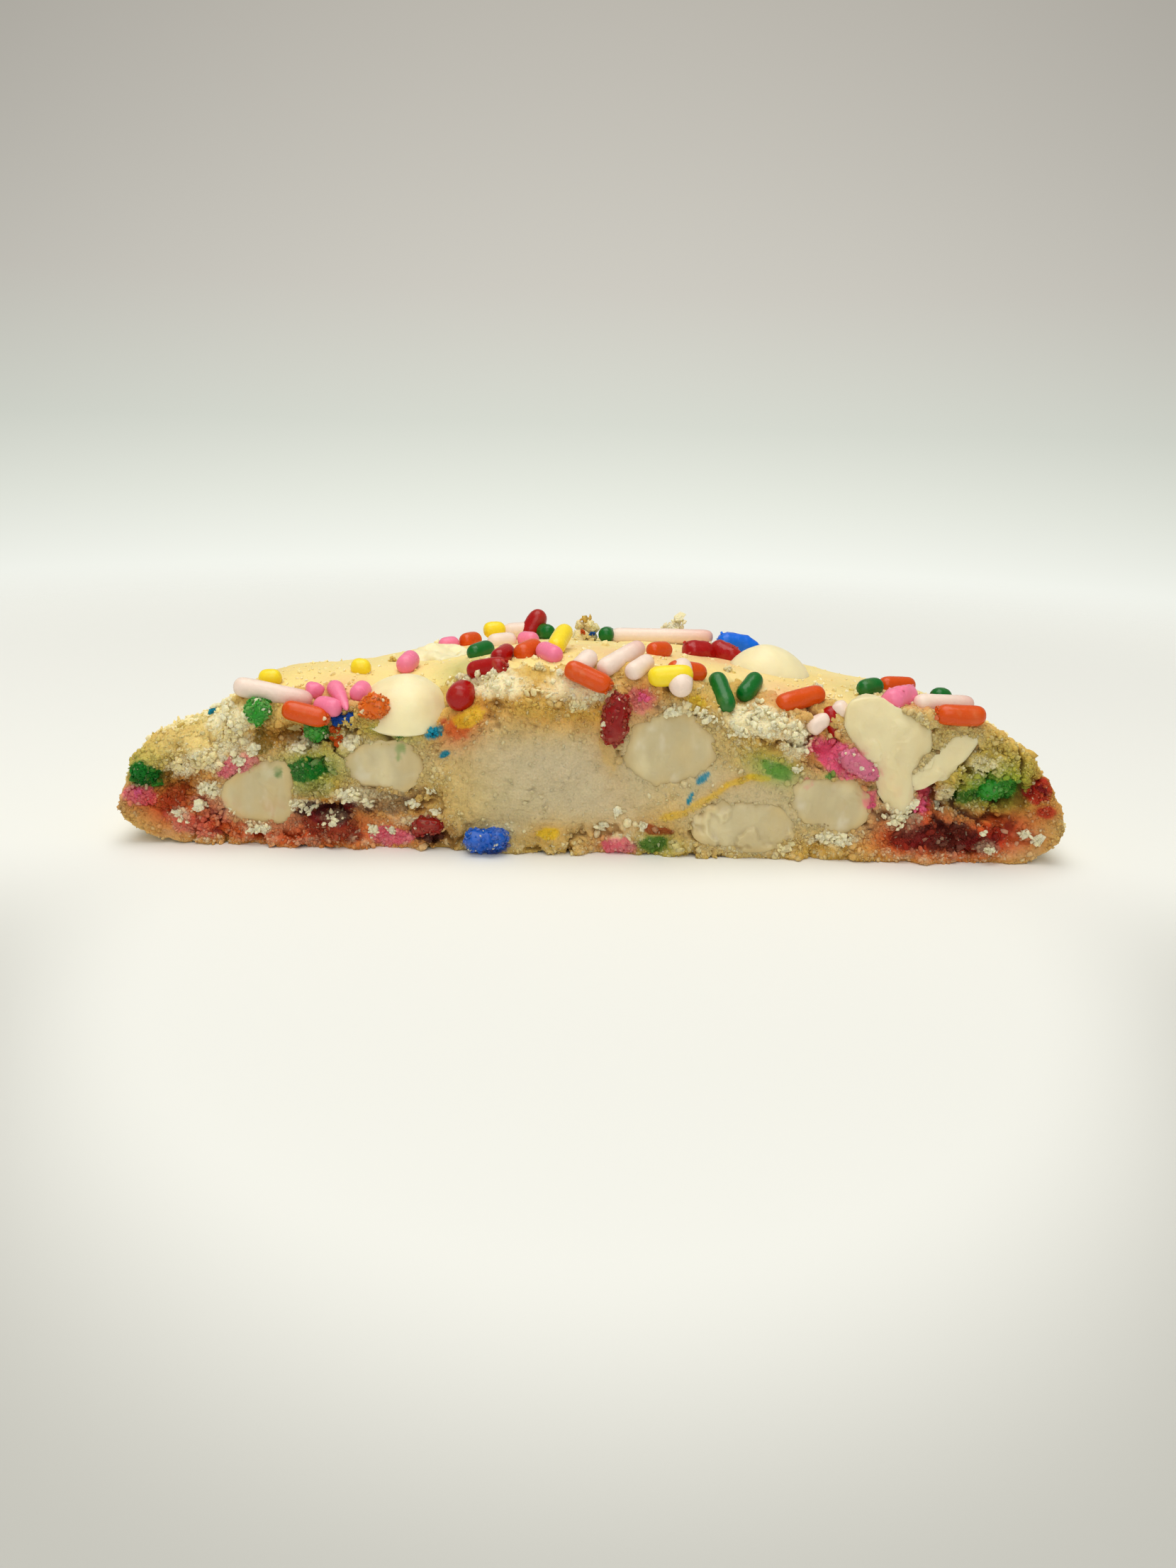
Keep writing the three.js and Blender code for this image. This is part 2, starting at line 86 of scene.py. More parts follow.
# On the top: colour, x, y, heading, length, pitch (over 0 dips its far end), lift over the crust
# where it isn't the usual one, and make.
TOP_JIMMIES = [
    ("orange", -26.8, -0.2, -4, 4.6, 9, 0.4, "broken"), ("white", -30.1, 1.5, 8, 7.4, 0, None, "blush"),
    ("pink", -24.8, 0.6, -31, 3.0, 12, None, "plain"), ("pink", -23.8, 1.5, -63, 4.9, 2, None, "point"),
    ("pink", -26.5, 2.9, 11, 1.8, 0, None, "blob"), ("pink", -22.0, 2.1, 76, 2.4, 0, 0.75, "plain"),
    ("yellow", -31.0, 4.0, -1, 2.2, 0, None, "plain"), ("yellow", -22.8, 6.6, -7, 2.0, 0, None, "plain"),
    ("pink", -18.4, 8.0, 76, 2.9, -3, 0.7, "plain"), ("pink", -16.2, 23.2, 31, 2.4, 0, None, "plain"),
    ("orange", -14.0, 25.0, 59, 3.0, 0, None, "plain"), ("green", -11.4, 9.9, 57, 3.4, -4, None, "plain"),
    ("red", -8.8, 5.0, 69, 3.2, 0, None, "plain"), ("orange", -6.4, 5.5, 56, 3.4, -4, None, "plain"),
    ("red", -10.1, 2.7, -19, 4.3, 2, None, "broken"), ("red", -12.4, 1.3, 80, 3.4, 26, 0.6, "stub"),
    ("white", -10.1, 20.8, 28, 3.3, 0, None, "plain"), ("white", -8.7, 28.0, -10, 3.8, -4, 1.0, "plain"),
    ("yellow", -11.5, 27.5, 20, 2.6, 0, 1.25, "plain"), ("green", -5.7, 27.0, -66, 3.3, 0, 0.9, "plain"),
    ("red", -7.0, 28.0, 20, 3.9, -60, 1.6, "bulb"), ("yellow", -3.4, 6.8, 76, 4.6, -20, 1.15, "plain"),
    ("pink", -4.3, 3.7, -58, 3.4, 0, None, "plain"), ("pink", -7.3, 21.2, -40, 2.6, 0, None, "plain"),
    ("green", 1.4, 27.0, 80, 3.2, 0, 0.66, "plain"), ("white", 7.6, 27.0, 0, 11.8, -3, 0.75, "blush"),
    ("white", 2.5, 2.4, 43, 5.8, -8, None, "blush"), ("white", 4.2, 1.1, 49, 3.4, 0, None, "plain"),
    ("orange", 6.3, 7.7, 41, 2.9, -6, None, "plain"), ("orange", -0.6, -0.2, -8, 4.8, 26, 0.41, "broken"),
    ("white", -0.9, 1.7, 53, 2.8, 0, None, "plain"), ("yellow", 7.0, -0.1, 3, 4.2, -12, 0.3, "plain"),
    ("orange", 8.6, 1.6, 30, 4.2, 0, None, "plain"), ("white", 8.0, 0.2, 85, 4.2, -30, 0.3, "bulb"),
    ("red", 10.9, 13.8, 25, 3.8, 0, 0.5, "chunk"), ("red", 13.6, 14.2, -40, 3.9, 8, 0.6, "chunk"),
    ("blue", 16.2, 26.0, 0, 4.9, 0, 0.72, "chunk"), ("green", 12.0, 1.7, -73, 4.6, 0, None, "plain"),
    ("green", 14.8, 3.2, 56, 3.6, 0, None, "plain"), ("orange", 19.5, 2.2, 24, 5.2, -9, None, "plain"),
    ("green", 26.5, 4.5, 28, 2.8, -3, None, "plain"), ("orange", 29.7, 6.9, 21, 4.0, -4, None, "plain"),
    ("pink", 28.8, 2.1, 39, 4.3, -4, None, "chunk"), ("green", 33.4, 4.6, 28, 2.2, -6, None, "plain"),
    ("orange", 34.0, -0.2, 180, 4.9, 13, 0.3, "broken"), ("white", 33.1, 2.3, 16, 6.3, -7, None, "blush"),
    ("white", 23.2, 1.4, 60, 1.8, 0, None, "blob"),
]

# In the broken face: colour, x, z, lean from level, length, how far out, and make.
BREAK_JIMMIES = [
    ("red", 2.1, 13.5, 84, 4.8, 0.5, "clump"), ("red", 22.7, 13.3, -60, 3.2, 0.0, "plain"),
    ("blue", -9.9, 1.5, 8, 4.0, 0.0, "clump"), ("red", -15.6, 2.3, 0, 3.0, 0.1, "crumbly"),
    ("green", -26.1, 11.4, 30, 2.0, 0.6, "clump"), ("green", 38.4, 7.2, 20, 3.0, -0.1, "clump"),
    ("pink", 25.0, 9.6, -35, 4.2, 0.1, "crumbly"), ("white", 21.1, 13.3, 40, 2.4, 0.2, "blob"),
    ("orange", -20.3, 14.0, -6, 2.6, 0.2, "clump"), ("green", -31.2, 13.4, 20, 2.2, 0.1, "clump"),
]

# Round the outer shoulder: a sunflower spiral of sprinkles, thinned where others lie close, and
# kept to the shoulder's outer slope, below the line of sight from the break over the top.
SHOULDER_JIMMIES = {"count": 150, "inner": 37, "outer": 43.4, "sight": 23.6, "fall": 0.006,
                    "spacing": 3.9}
GOLDEN_ANGLE = math.pi * (3 - math.sqrt(5))
JIMMY_COLOURS = ("red", "orange", "yellow", "green", "blue", "pink", "white")

# Share of taper, roughness in mm and shortening for each make of sprinkle, how much stouter than
# a plain one some are, and how many sugar grains lie on them.
MAKES = {
    "plain": (0.05, 0.03, 1.0), "blush": (0.1, 0.03, 1.0), "broken": (0.0, 0.05, 0.95),
    "crumbly": (0.1, 0.26, 1.0), "point": (0.75, 0.03, 1.0), "blob": (0.3, 0.22, 1.0),
    "chunk": (0.25, 0.30, 1.0), "stub": (0.15, 0.06, 1.0), "bulb": (0.2, 0.05, 1.0),
    "clump": (0.1, 0.5, 1.0),
}
STOUT = {"chunk": 1.3, "stub": 1.55, "bulb": 1.35, "clump": 1.25}
GRAINS = {"crumbly": 170, "clump": 260, "broken": 34, "chunk": 16}
CRUMBLY = ("crumbly", "clump")

# Inside a crumbled sprinkle, where it isn't a darker shade of its own glaze.
TORN_TONES = {"green": tone(40, 148, 38), "orange": tone(228, 104, 16)}

# Chips in the break: middle (x, z), radii every 45 degrees from +x, front, bulge, depth, crumble.
BREAK_CHIPS = {
    "chip_cut_far_left": ((-31.8, 5.3), (3.4, 4.1, 2.8, 2.5, 3.4, 3.2, 2.9, 3.9), 0.0, 0.1, 4.5, 0.1),
    "chip_cut_left": ((-19.6, 8.3), (3.8, 3.2, 2.2, 2.7, 3.8, 2.9, 2.2, 3.2), 0.0, 0.1, 4.5, 0.1),
    "chip_cut_centre": ((7.3, 10.5), (4.5, 3.9, 3.7, 4.0, 4.4, 4.3, 3.6, 3.7), 0.0, 0.2, 5.0, 0.1),
    "chip_cut_low": ((14.5, 3.2), (5.2, 3.3, 2.5, 3.3, 5.0, 3.3, 2.4, 3.3), 0.0, 0.4, 4.5, 0.5),
    "chip_cut_right": ((22.5, 5.4), (4.0, 3.4, 2.6, 3.6, 3.9, 2.5, 2.5, 3.7), 0.0, 0.1, 4.5, 0.1),
    "chip_cut_slab": ((33.3, 9.6), (0.8, 1.2, 2.4, 3.8, 3.6, 3.2, 2.5, 2.1, 1.8, 1.7, 1.8, 1.9, 2.4,
                                    3.4, 4.1, 2.9, 1.5, 1.2, 0.9, 0.7, 0.6, 0.6, 0.6, 0.7),
                      -0.2, 0.4, 2.4, 0.25),
    "chip_edge_right": ((27.4, 11.3), (4.3, 4.3, 4.1, 3.7, 3.6, 3.8, 4.1, 4.9, 5.3, 5.2, 4.6, 3.5, 2.7,
                                       2.3, 2.2, 2.2, 2.3, 3.0, 4.8, 6.6, 6.1, 3.7, 3.6, 3.9),
                        -0.2, 0.7, 6.0, 0.15),
}

# Whole chips: middle, radius, height and the way the peak points.
DROP_CHIPS = {
    "chip_top_left": ((-18.1, 3.2, 14.15), 4.4, 4.5, (0.05, -0.22, 0.97)),
    "chip_top_left_back": ((-15.9, 14.0, 15.1), 4.2, 5.6, (0.1, -0.1, 0.99)),
    "chip_top_right": ((16.9, 10.2, 15.6), 4.9, 6.6, (-0.1, -0.2, 0.95)),
    "chip_back_left": ((-29.4, 29.4, 8.5), 4.2, 6.0, (-0.57, 0.57, 0.6)),
    "chip_back_middle": ((-4.9, 39.7, 10.0), 4.3, 6.0, (-0.1, 0.79, 0.6)),
    "chip_back_right": ((16.3, 36.5, 9.9), 4.2, 6.0, (0.32, 0.73, 0.6)),
    "chip_back_far_right": ((34.6, 20.0, 9.9), 4.2, 6.0, (0.7, 0.4, 0.6)),
}
TORN_DROP = "chip_top_left_back"
DEEP_CHIPS = list(BREAK_CHIPS)[:5]
# Painted highlight: the colour of the bright glinting streaks laid into the deep chips' tint.
PAINTED_GLINT = (0.95, 0.93, 0.84)

# Hollows and swells in the break: middle (x, z), half-width, half-height and depth.
BREAK_FORMS = [
    (-27.0, 10.9, 4.2, 1.3, 2.6), (-25.5, 3.9, 4.6, 1.1, 2.0), (31.0, 6.6, 3.2, 1.8, 1.6),
    (36.8, 6.6, 3.2, 1.7, 1.3), (22.8, 12.6, 1.8, 1.8, 1.5), (-42.0, 5.8, 2.2, 0.9, 0.8),
    (-5.0, 7.3, 8.5, 6.5, -0.7), (14.7, 3.0, 6.5, 2.4, -0.4),
]

# Dye marks in the break: colour, x, z, half-width, half-height, turn, core and halo strength. The greyish
# marks are painted shade, under a chip and in a dark band at the right.
BREAK_DYES_AND_SHADES = [
    ("gold", 42.5, 4.0, 3.2, 2.6, 0, 0.5, 0.5), ("gold", -42.0, 2.8, 3.0, 1.8, 0, 0.5, 0.5),
    ("gold", 25.0, 1.0, 5.0, 0.9, 0, 0.5, 0.3), ("gold", -3.2, 14.2, 4.6, 1.0, -4, 0.7, 0.6),
    ("gold", 1.6, 10.6, 0.9, 2.4, 12, 0.4, 0.4), ("ochre", -39.0, 5.6, 2.4, 1.6, -30, 0.6, 0.4),
    ("green", -42.4, 6.9, 1.8, 1.5, 0, 1.0, 0.3), ("pink", -43.0, 4.7, 1.8, 0.9, -10, 0.7, 0.5),
    ("rust", -39.9, 4.4, 1.0, 1.7, -40, 0.8, 0.4), ("pink", -33.5, 7.8, 2.1, 1.0, 22, 0.8, 0.4),
    ("rose", -38.2, 2.0, 2.6, 1.1, -18, 0.7, 0.4), ("orange", -33.6, 1.4, 3.0, 0.9, -8, 0.7, 0.5),
    ("olive", -31.0, 10.4, 1.1, 1.3, 0, 0.8, 0.3), ("ochre", -29.0, 11.0, 2.0, 0.9, 0, 0.7, 0.3),
    ("green", -27.2, 7.6, 2.6, 1.2, 15, 1.0, 0.5), ("pale_green", -26.2, 5.8, 1.9, 1.0, 0, 0.7, 0.4),
    ("maroon", -25.5, 3.4, 3.0, 1.0, -12, 1.0, 0.4), ("red", -25.0, 2.0, 3.1, 1.1, -10, 0.8, 0.5),
    ("rust", -26.0, 0.8, 2.8, 0.7, 0, 0.6, 0.4), ("red", -23.1, 4.2, 0.8, 0.5, 20, 1.0, 0.2),
    ("grey_shade", -20.5, 4.7, 3.6, 1.3, -5, 0.6, 0.9), ("maroon", -15.8, 1.7, 1.8, 1.1, -20, 1.0, 0.3),
    ("pink", -19.2, 1.2, 2.1, 1.0, 0, 0.8, 0.5), ("blue", -9.9, 0.9, 2.1, 1.2, 8, 1.0, 0.4),
    ("yellow", -4.0, 2.2, 1.1, 0.6, 10, 0.9, 0.5), ("pale_green", -12.0, 4.6, 4.0, 2.0, 0, 0.0, 0.15),
    ("green", -18.8, 11.6, 1.6, 0.5, -8, 1.0, 0.3), ("leaf", -18.3, 9.9, 0.7, 1.0, 0, 0.7, 0.2),
    ("cyan", -14.8, 11.6, 1.0, 0.5, 25, 1.0, 0.1), ("cyan", -13.9, 9.6, 0.5, 0.3, 30, 1.0, 0.1),
    ("rust", -14.1, 12.7, 0.4, 0.3, 0, 1.0, 0.1), ("orange", -12.6, 12.1, 1.5, 1.0, 35, 0.6, 0.6),
    ("yellow", -11.6, 13.2, 1.6, 0.8, 30, 0.7, 0.5), ("pink", 4.4, 15.3, 1.3, 1.2, 0, 0.5, 0.5),
    ("yellow", 9.6, 15.0, 1.0, 0.8, -30, 0.8, 0.4), ("cyan", 10.5, 7.9, 0.8, 0.34, 45, 1.0, 0.1),
    ("cyan", 9.4, 6.0, 0.65, 0.28, 70, 1.0, 0.1), ("yellow", 8.0, 4.2, 1.6, 0.45, 15, 0.65, 0.25),
    ("yellow", 10.2, 5.3, 1.5, 0.42, 30, 0.65, 0.25), ("yellow", 12.0, 6.6, 1.4, 0.36, 40, 0.65, 0.25),
    ("yellow", 13.8, 7.7, 1.6, 0.36, 20, 0.65, 0.25), ("yellow", 15.6, 8.1, 1.2, 0.36, -5, 0.6, 0.25),
    ("rust", 6.3, 2.6, 1.6, 0.5, -8, 0.9, 0.3), ("pink", 2.7, 0.8, 1.8, 1.0, 0, 0.8, 0.4),
    ("green", 6.1, 1.2, 1.5, 0.9, 0, 0.8, 0.4), ("leaf", 17.4, 8.9, 1.6, 0.8, -20, 0.7, 0.6),
    ("pink", 23.6, 9.9, 3.4, 1.5, -25, 1.0, 0.5), ("pink", 20.4, 7.6, 0.5, 0.6, 0, 0.6, 0.2),
    ("leaf", 22.4, 8.4, 0.5, 0.3, 0, 0.9, 0.3), ("pink", 26.4, 6.2, 0.8, 1.2, 0, 0.8, 0.4),
    ("pink", 31.6, 6.0, 1.1, 1.5, 0, 0.9, 0.4), ("olive", 26.4, 7.4, 0.5, 0.4, 0, 0.9, 0.2),
    ("pale_green", 37.0, 9.3, 3.2, 2.0, -20, 0.0, 0.35), ("leaf", 38.3, 7.4, 2.6, 1.6, 0, 0.5, 0.5),
    ("leaf", 39.6, 7.4, 1.0, 1.2, 10, 1.0, 0.4), ("green", 36.2, 6.5, 1.7, 0.6, 10, 0.8, 0.4),
    ("scarlet", 42.5, 7.4, 1.0, 1.5, -35, 0.9, 0.4), ("scarlet", 43.2, 5.4, 0.9, 0.7, 0, 0.8, 0.4),
    ("maroon", 34.1, 2.6, 3.8, 1.5, -3, 0.9, 1.0), ("red", 37.4, 1.9, 2.0, 0.9, 15, 0.8, 0.8),
    ("red", 30.6, 2.4, 2.0, 1.0, 8, 0.8, 0.9), ("maroon", 39.0, 3.4, 2.0, 0.9, 20, 0.5, 0.8),
    ("rust", -29.5, 2.6, 1.4, 0.8, -10, 0.4, 0.6), ("orange", -29.0, 1.0, 2.2, 0.6, 0, 0.5, 0.6),
    ("rose", -36.0, 3.6, 2.2, 1.2, -15, 0.4, 0.5), ("rust", -40.0, 3.4, 1.6, 0.8, -20, 0.4, 0.6),
    ("maroon", 30.0, 3.9, 1.6, 1.4, 0, 0.5, 0.5), ("grey_shade", 34.4, 4.9, 2.6, 1.1, -10, 0.2, 0.7),
    ("rust", 41.2, 2.6, 1.4, 0.7, 0, 0.7, 0.4), ("rust", 38.9, 4.1, 0.9, 0.4, 0, 0.8, 0.3),
]

# Dye bled into the crust round some sprinkles: colour, x, y, radius and strength.
TOP_DYES = [
    ("rose", 32.0, 2.5, 4.5, 0.6), ("rose", -23.5, 2.0, 3.2, 0.45), ("rose", 3.4, 6.0, 4.0, 0.4),
    ("rose", 12.5, 11.0, 4.0, 0.4), ("pale_green", 27.0, 4.5, 3.0, 0.5), ("rose", 18.0, 2.4, 3.0, 0.35),
    ("pale_green", -12.8, 6.0, 2.6, 0.5), ("gold", -34.0, 8.0, 6.0, 0.3),
    ("pale_green", -38.0, 4.0, 3.0, 0.4), ("rose", -4.0, 12.0, 4.0, 0.25), ("gold", 22.0, 8.0, 5.0, 0.3),
]

# Where frosty grains lie thickest on the break: middle (x, z), half-width, half-height, strength.
FROSTY_PATCHES = [
    (-9.5, 16.4, 3.5, 1.4, 1.0), (-1.5, 15.9, 3.4, 1.8, 0.9), (8.5, 14.4, 3.0, 1.0, 0.6),
    (15.5, 13.4, 3.4, 1.4, 1.0), (19.0, 11.8, 1.7, 1.9, 1.0), (-34.3, 12.2, 2.2, 1.7, 1.0),
    (-33.5, 9.8, 3.2, 1.8, 0.55), (-36.2, 8.5, 2.6, 1.2, 0.8), (-38.8, 7.4, 1.8, 1.0, 0.7),
    (-22.5, 5.2, 2.3, 1.0, 1.0), (-27.5, 4.3, 1.7, 0.5, 1.0), (-24.6, 3.0, 1.3, 0.5, 1.0),
    (29.5, 5.2, 1.8, 1.5, 1.0), (23.0, 2.1, 2.4, 0.7, 1.0), (-32.0, 1.8, 1.6, 0.8, 0.8),
    (-39.2, 3.1, 1.2, 0.8, 0.9), (38.0, 1.7, 1.2, 0.8, 0.8), (42.0, 3.0, 1.8, 0.9, 0.7),
    (33.6, 6.4, 1.4, 1.3, 0.7), (36.5, 9.8, 3.0, 1.8, 0.5), (-27.5, 10.0, 2.0, 1.0, 0.6),
    (-22.7, 10.4, 1.5, 1.3, 0.6), (3.0, 2.6, 3.0, 2.0, 0.6), (-8.0, 2.6, 2.6, 1.0, 0.5),
    (-36.3, 5.4, 1.4, 0.9, 0.8), (14.0, 14.0, 2.0, 1.0, 0.7), (-17.0, 3.0, 2.4, 0.8, 0.6),
]

# Flakes and bigger crumbs that cling to the break: colour, x, z and size.
FLAKES = [
    ("frost", -39.3, 3.0, 0.7), ("frost", -37.3, 3.7, 0.7), ("frost", -36.4, 5.8, 0.9),
    ("frost", -32.2, 1.7, 0.8), ("frost", -31.2, 1.8, 0.6), ("frost", -27.0, 3.6, 0.8),
    ("frost", -28.2, 4.2, 0.8), ("frost", -24.6, 2.7, 0.9), ("frost", -22.9, 5.4, 1.2),
    ("frost", -21.6, 4.7, 0.7), ("frost", -17.0, 4.6, 0.6), ("frost", -20.9, 1.8, 0.8),
    ("frost", -34.1, 3.6, 0.6), ("frost", -33.6, 8.4, 0.9), ("cream", -36.2, 8.6, 1.2),
    ("cream", -37.2, 7.9, 0.8), ("cream", -39.2, 7.7, 0.8), ("frost", -34.3, 12.9, 1.5),
    ("cream", -34.4, 10.9, 1.1), ("frost", -31.7, 9.6, 0.7), ("frost", -27.7, 9.9, 0.8),
    ("cream", -26.2, 10.6, 0.7), ("frost", -22.7, 10.4, 0.7), ("frost", 15.4, 14.2, 1.2),
    ("frost", 19.0, 12.4, 1.3), ("frost", 19.5, 10.9, 0.8), ("frost", 19.3, 9.0, 0.5),
    ("frost", 29.9, 5.6, 1.3), ("frost", 29.2, 4.3, 1.1), ("frost", 23.6, 2.1, 0.9),
    ("frost", 22.2, 2.5, 0.7), ("frost", 24.6, 2.0, 0.6), ("frost", 38.2, 1.6, 0.6),
    ("frost", 37.3, 3.3, 0.4), ("frost", 33.4, 5.2, 0.6), ("cream", 33.9, 6.6, 0.9),
    ("cream", 18.6, 1.1, 0.9), ("frost", 16.6, 3.6, 0.6), ("frost", 41.6, 3.0, 0.6),
    ("frost", 42.9, 2.6, 0.7), ("frost", -12.3, 16.0, 1.0), ("frost", -9.5, 16.6, 1.2),
    ("cream", -5.8, 16.2, 1.0), ("frost", -3.0, 17.0, 0.9), ("cream", -1.5, 14.7, 0.8),
    ("frost", 7.4, 14.2, 0.8), ("frost", 10.3, 14.0, 0.9), ("frost", 13.6, 12.6, 0.8),
    ("frost", -14.8, 3.9, 0.5), ("frost", -15.3, 5.9, 0.4), ("frost", -19.2, 1.7, 0.5),
    ("frost", 2.6, 4.4, 0.5), ("frost", 1.2, 2.8, 0.6), ("frost", 5.0, 2.9, 0.5),
    ("cyan", -36.3, 12.6, 0.5), ("leaf", -31.0, 13.9, 0.7), ("leaf", -31.4, 12.7, 0.6),
    ("blue", -23.9, 12.9, 0.9), ("blue", -22.8, 12.9, 0.7), ("yellow", -18.3, 13.6, 0.9),
    ("orange", -24.0, 10.5, 0.5), ("orange", -24.2, 11.6, 0.5), ("rust", -27.6, 10.9, 0.7),
    ("cyan", -14.8, 11.6, 0.5), ("green", -25.9, 10.6, 0.5), ("pink", 26.4, 5.6, 0.5),
    ("pink", 31.6, 5.4, 0.7), ("pink", 24.4, 10.6, 0.6), ("leaf", 39.9, 6.6, 0.5),
    ("red", 42.6, 7.6, 0.6), ("pink", 4.6, 15.6, 0.7), ("red", -12.2, 14.0, 0.4),
    ("green", -42.6, 7.2, 0.7), ("leaf", -41.4, 5.9, 0.5), ("pink", -43.2, 4.9, 0.5),
]

# Crumbs that lie on the top: colour, x, y, size and height of the heap over the crust.
TOP_CRUMBS = [
    ("cream", -0.9, 27.0, 1.4, 0.6), ("cream", -0.8, 27.2, 1.2, 1.5), ("gold", -1.1, 27.0, 0.7, 2.1),
    ("orange", -1.4, 26.0, 0.35, 0.9), ("blue", -0.3, 26.0, 0.3, 0.8), ("frost", 9.0, 29.0, 1.2, 1.0),
    ("frost", 9.4, 29.1, 1.0, 2.2), ("frost", 8.4, 28.9, 0.9, 1.6), ("cream", -5.0, 1.6, 0.6, 0.2),
    ("cream", 12.9, 5.8, 0.5, 0.2), ("frost", 21.6, 4.6, 0.5, 0.2), ("gold", -20.6, 12.0, 0.5, 0.2),
]

# ---- noise that is the same each run ----


def lattice_numbers(i, j, k, seed):
    """A steady number from 0 to 1 for each whole point of a lattice, by mixing its bits."""
    mixed = (i * 374761393 + j * 668265263 + k * 1274126177 + seed * 362437) & 0xFFFFFFFF
    mixed = ((mixed ^ (mixed >> 13)) * 1103515245) & 0xFFFFFFFF
    mixed = ((mixed ^ (mixed >> 15)) * 668265263) & 0xFFFFFFFF
    return ((mixed ^ (mixed >> 16)) & 0xFFFFFF) / float(0xFFFFFF)


def value_noise(points, seed):
    """Smooth noise from -1 to 1: lattice numbers blended by an eased weight on each axis."""
    cell = np.floor(points).astype(np.int64)
    part = points - cell
    ease = part * part * (3 - 2 * part)
    total = 0.0
    for di in (0, 1):
        for dj in (0, 1):
            for dk in (0, 1):
                weight = (np.where(di, ease[..., 0], 1 - ease[..., 0])
                          * np.where(dj, ease[..., 1], 1 - ease[..., 1])
                          * np.where(dk, ease[..., 2], 1 - ease[..., 2]))
                corner = lattice_numbers(cell[..., 0] + di, cell[..., 1] + dj, cell[..., 2] + dk, seed)
                total = total + weight * corner
    return 2 * total - 1


def layered_noise(points, size, seed, layers=3):
    """Noise of a given size in mm with finer layers, each half as large and half as strong."""
    total, share = 0.0, 0.5
    for layer in range(layers):
        total = total + share * value_noise(points * (2.03 ** layer / size), seed + layer)
        share = share / 2
    return total / (1 - share * 2)


def lumps(points, size, seed):
    """Packed round lumps: 1 on the middle of each cell's stray point, falling with its distance."""
    scaled = points / size
    cell = np.floor(scaled).astype(np.int64)
    nearest = np.full(points.shape[:-1], 9.0)
    for di in (-1, 0, 1):
        for dj in (-1, 0, 1):
            for dk in (-1, 0, 1):
                i, j, k = cell[..., 0] + di, cell[..., 1] + dj, cell[..., 2] + dk
                away = ((i + lattice_numbers(i, j, k, seed) - scaled[..., 0]) ** 2
                        + (j + lattice_numbers(i, j, k, seed + 1) - scaled[..., 1]) ** 2
                        + (k + lattice_numbers(i, j, k, seed + 2) - scaled[..., 2]) ** 2)
                nearest = np.minimum(nearest, away)
    return 1 - 1.9 * nearest


def eased(low, high, value):
    """0 below low, 1 above high, and an eased ramp between them."""
    share = np.clip((value - low) / (high - low), 0, 1)
    return share * share * (3 - 2 * share)


def bell(away, width):
    """A smooth bump: 1 at nought, and falling off over a width to both sides."""
    return np.exp(-(away / width) ** 2)


# ---- the dome ----


def outline_radius(angle):
    """The outline from above: round, with three slow and five quicker swells, fuller at left."""
    return (RADIUS + 0.4 * np.sin(3 * angle + 1.0) + 0.3 * np.sin(5 * angle + 2.2)
            - 0.45 * np.cos(angle))


def reach(x, y):
    """How far out a point lies: 0 in the middle and 1 on the outline."""
    return np.minimum(np.hypot(x, y) / outline_radius(np.arctan2(y, x)), 1)


def depth_at(x):
    """The depth of the half behind the break, found by walking onto the outline."""
    y = np.sqrt(np.maximum(RADIUS ** 2 - x ** 2, 0))
    for _ in range(8):
        y = np.sqrt(np.maximum(outline_radius(np.arctan2(y, x)) ** 2 - x ** 2, 0))
    return y


def crown_height(x, y):
    """The broad top: a hump in the middle, a swell on the left and two shallow dips."""
    hump = HUMP * np.exp(-((x / 15) ** 2 + (y / 19) ** 2) ** 1.3)
    swell = 0.5 * bell(x + 33, 7) * bell(y - 10, 8)
    dips = 1.2 * bell(x + 24, 9) * bell(y - 22, 9) + 0.7 * bell(x - 26, 9) * bell(y - 20, 9)
    return PLATEAU + hump + swell - dips


def crumbled_edge(x):
    """How much crust has crumbled away along the upper edge of the break."""
    return (0.5 + 3.6 * bell(x + 15.5, 5) + 2.6 * bell(x + 26.5, 4)
            + 2.6 * bell(x - 13.5, 3.5) + 2.0 * bell(x - 21.5, 4.5))


def left_slope(x, back):
    """The left end falls in a straighter line: lower over its shoulder, fuller at its rim."""
    return (0.9 * bell(x + 42.6, 1.8) - 1.5 * bell(x + 37.2, 3.6)) * bell(back, 26)


def top_height(x, y):
    """The upper skin: the crown, falling to the side by 1 - q^7, less the crumbled edge."""
    q, back = reach(x, y), np.maximum(y, 0)
    dome = (crown_height(x, y) - SIDE_HEIGHT) * (1 - q ** 7) ** 0.72
    rounded = 1.3 * bell(x + 3, 9) * bell(back, 1.5)
    nest = 1.5 * np.exp(-((x + 17.6) / 4.6) ** 4) * bell(back - 3, 4)
    return (SIDE_HEIGHT + dome - rounded - nest + left_slope(x, back) * (1 - q ** 30)
            - crumbled_edge(x) * bell(back, 3.6) * (1 - q ** 12))


def base_height(x, y):
    """The lower skin: flat, turned up into the side, with a small curl at the left end."""
    turn = np.clip((reach(x, y) - FLAT_REACH) / (1 - FLAT_REACH), 0, 1)
    left = (1 - turn ** 2) ** 0.6
    curl = 0.9 * np.clip((-x - 33) / 11, 0, 1) ** 2
    return SIDE_HEIGHT * (1 - left) + curl * left


def break_depth(x, z, waves=1.0):
    """How far the broken face lies behind its plane: low waves and the listed forms."""
    depth = (0.26 * np.sin(0.9 * x + 0.7 * z) + 0.22 * np.sin(2.1 * x - 1.3 * z + 1.0)
             + 0.18 * np.sin(1.7 * z + 3.1 * np.sin(0.5 * x))) * waves + 0.3 * np.sin(0.33 * x + 0.8)
    for mid_x, mid_z, width, height, deep in BREAK_FORMS:
        depth = depth + deep * bell(x - mid_x, width) * bell(z - mid_z, height)
    return depth


# ---- meshes ----


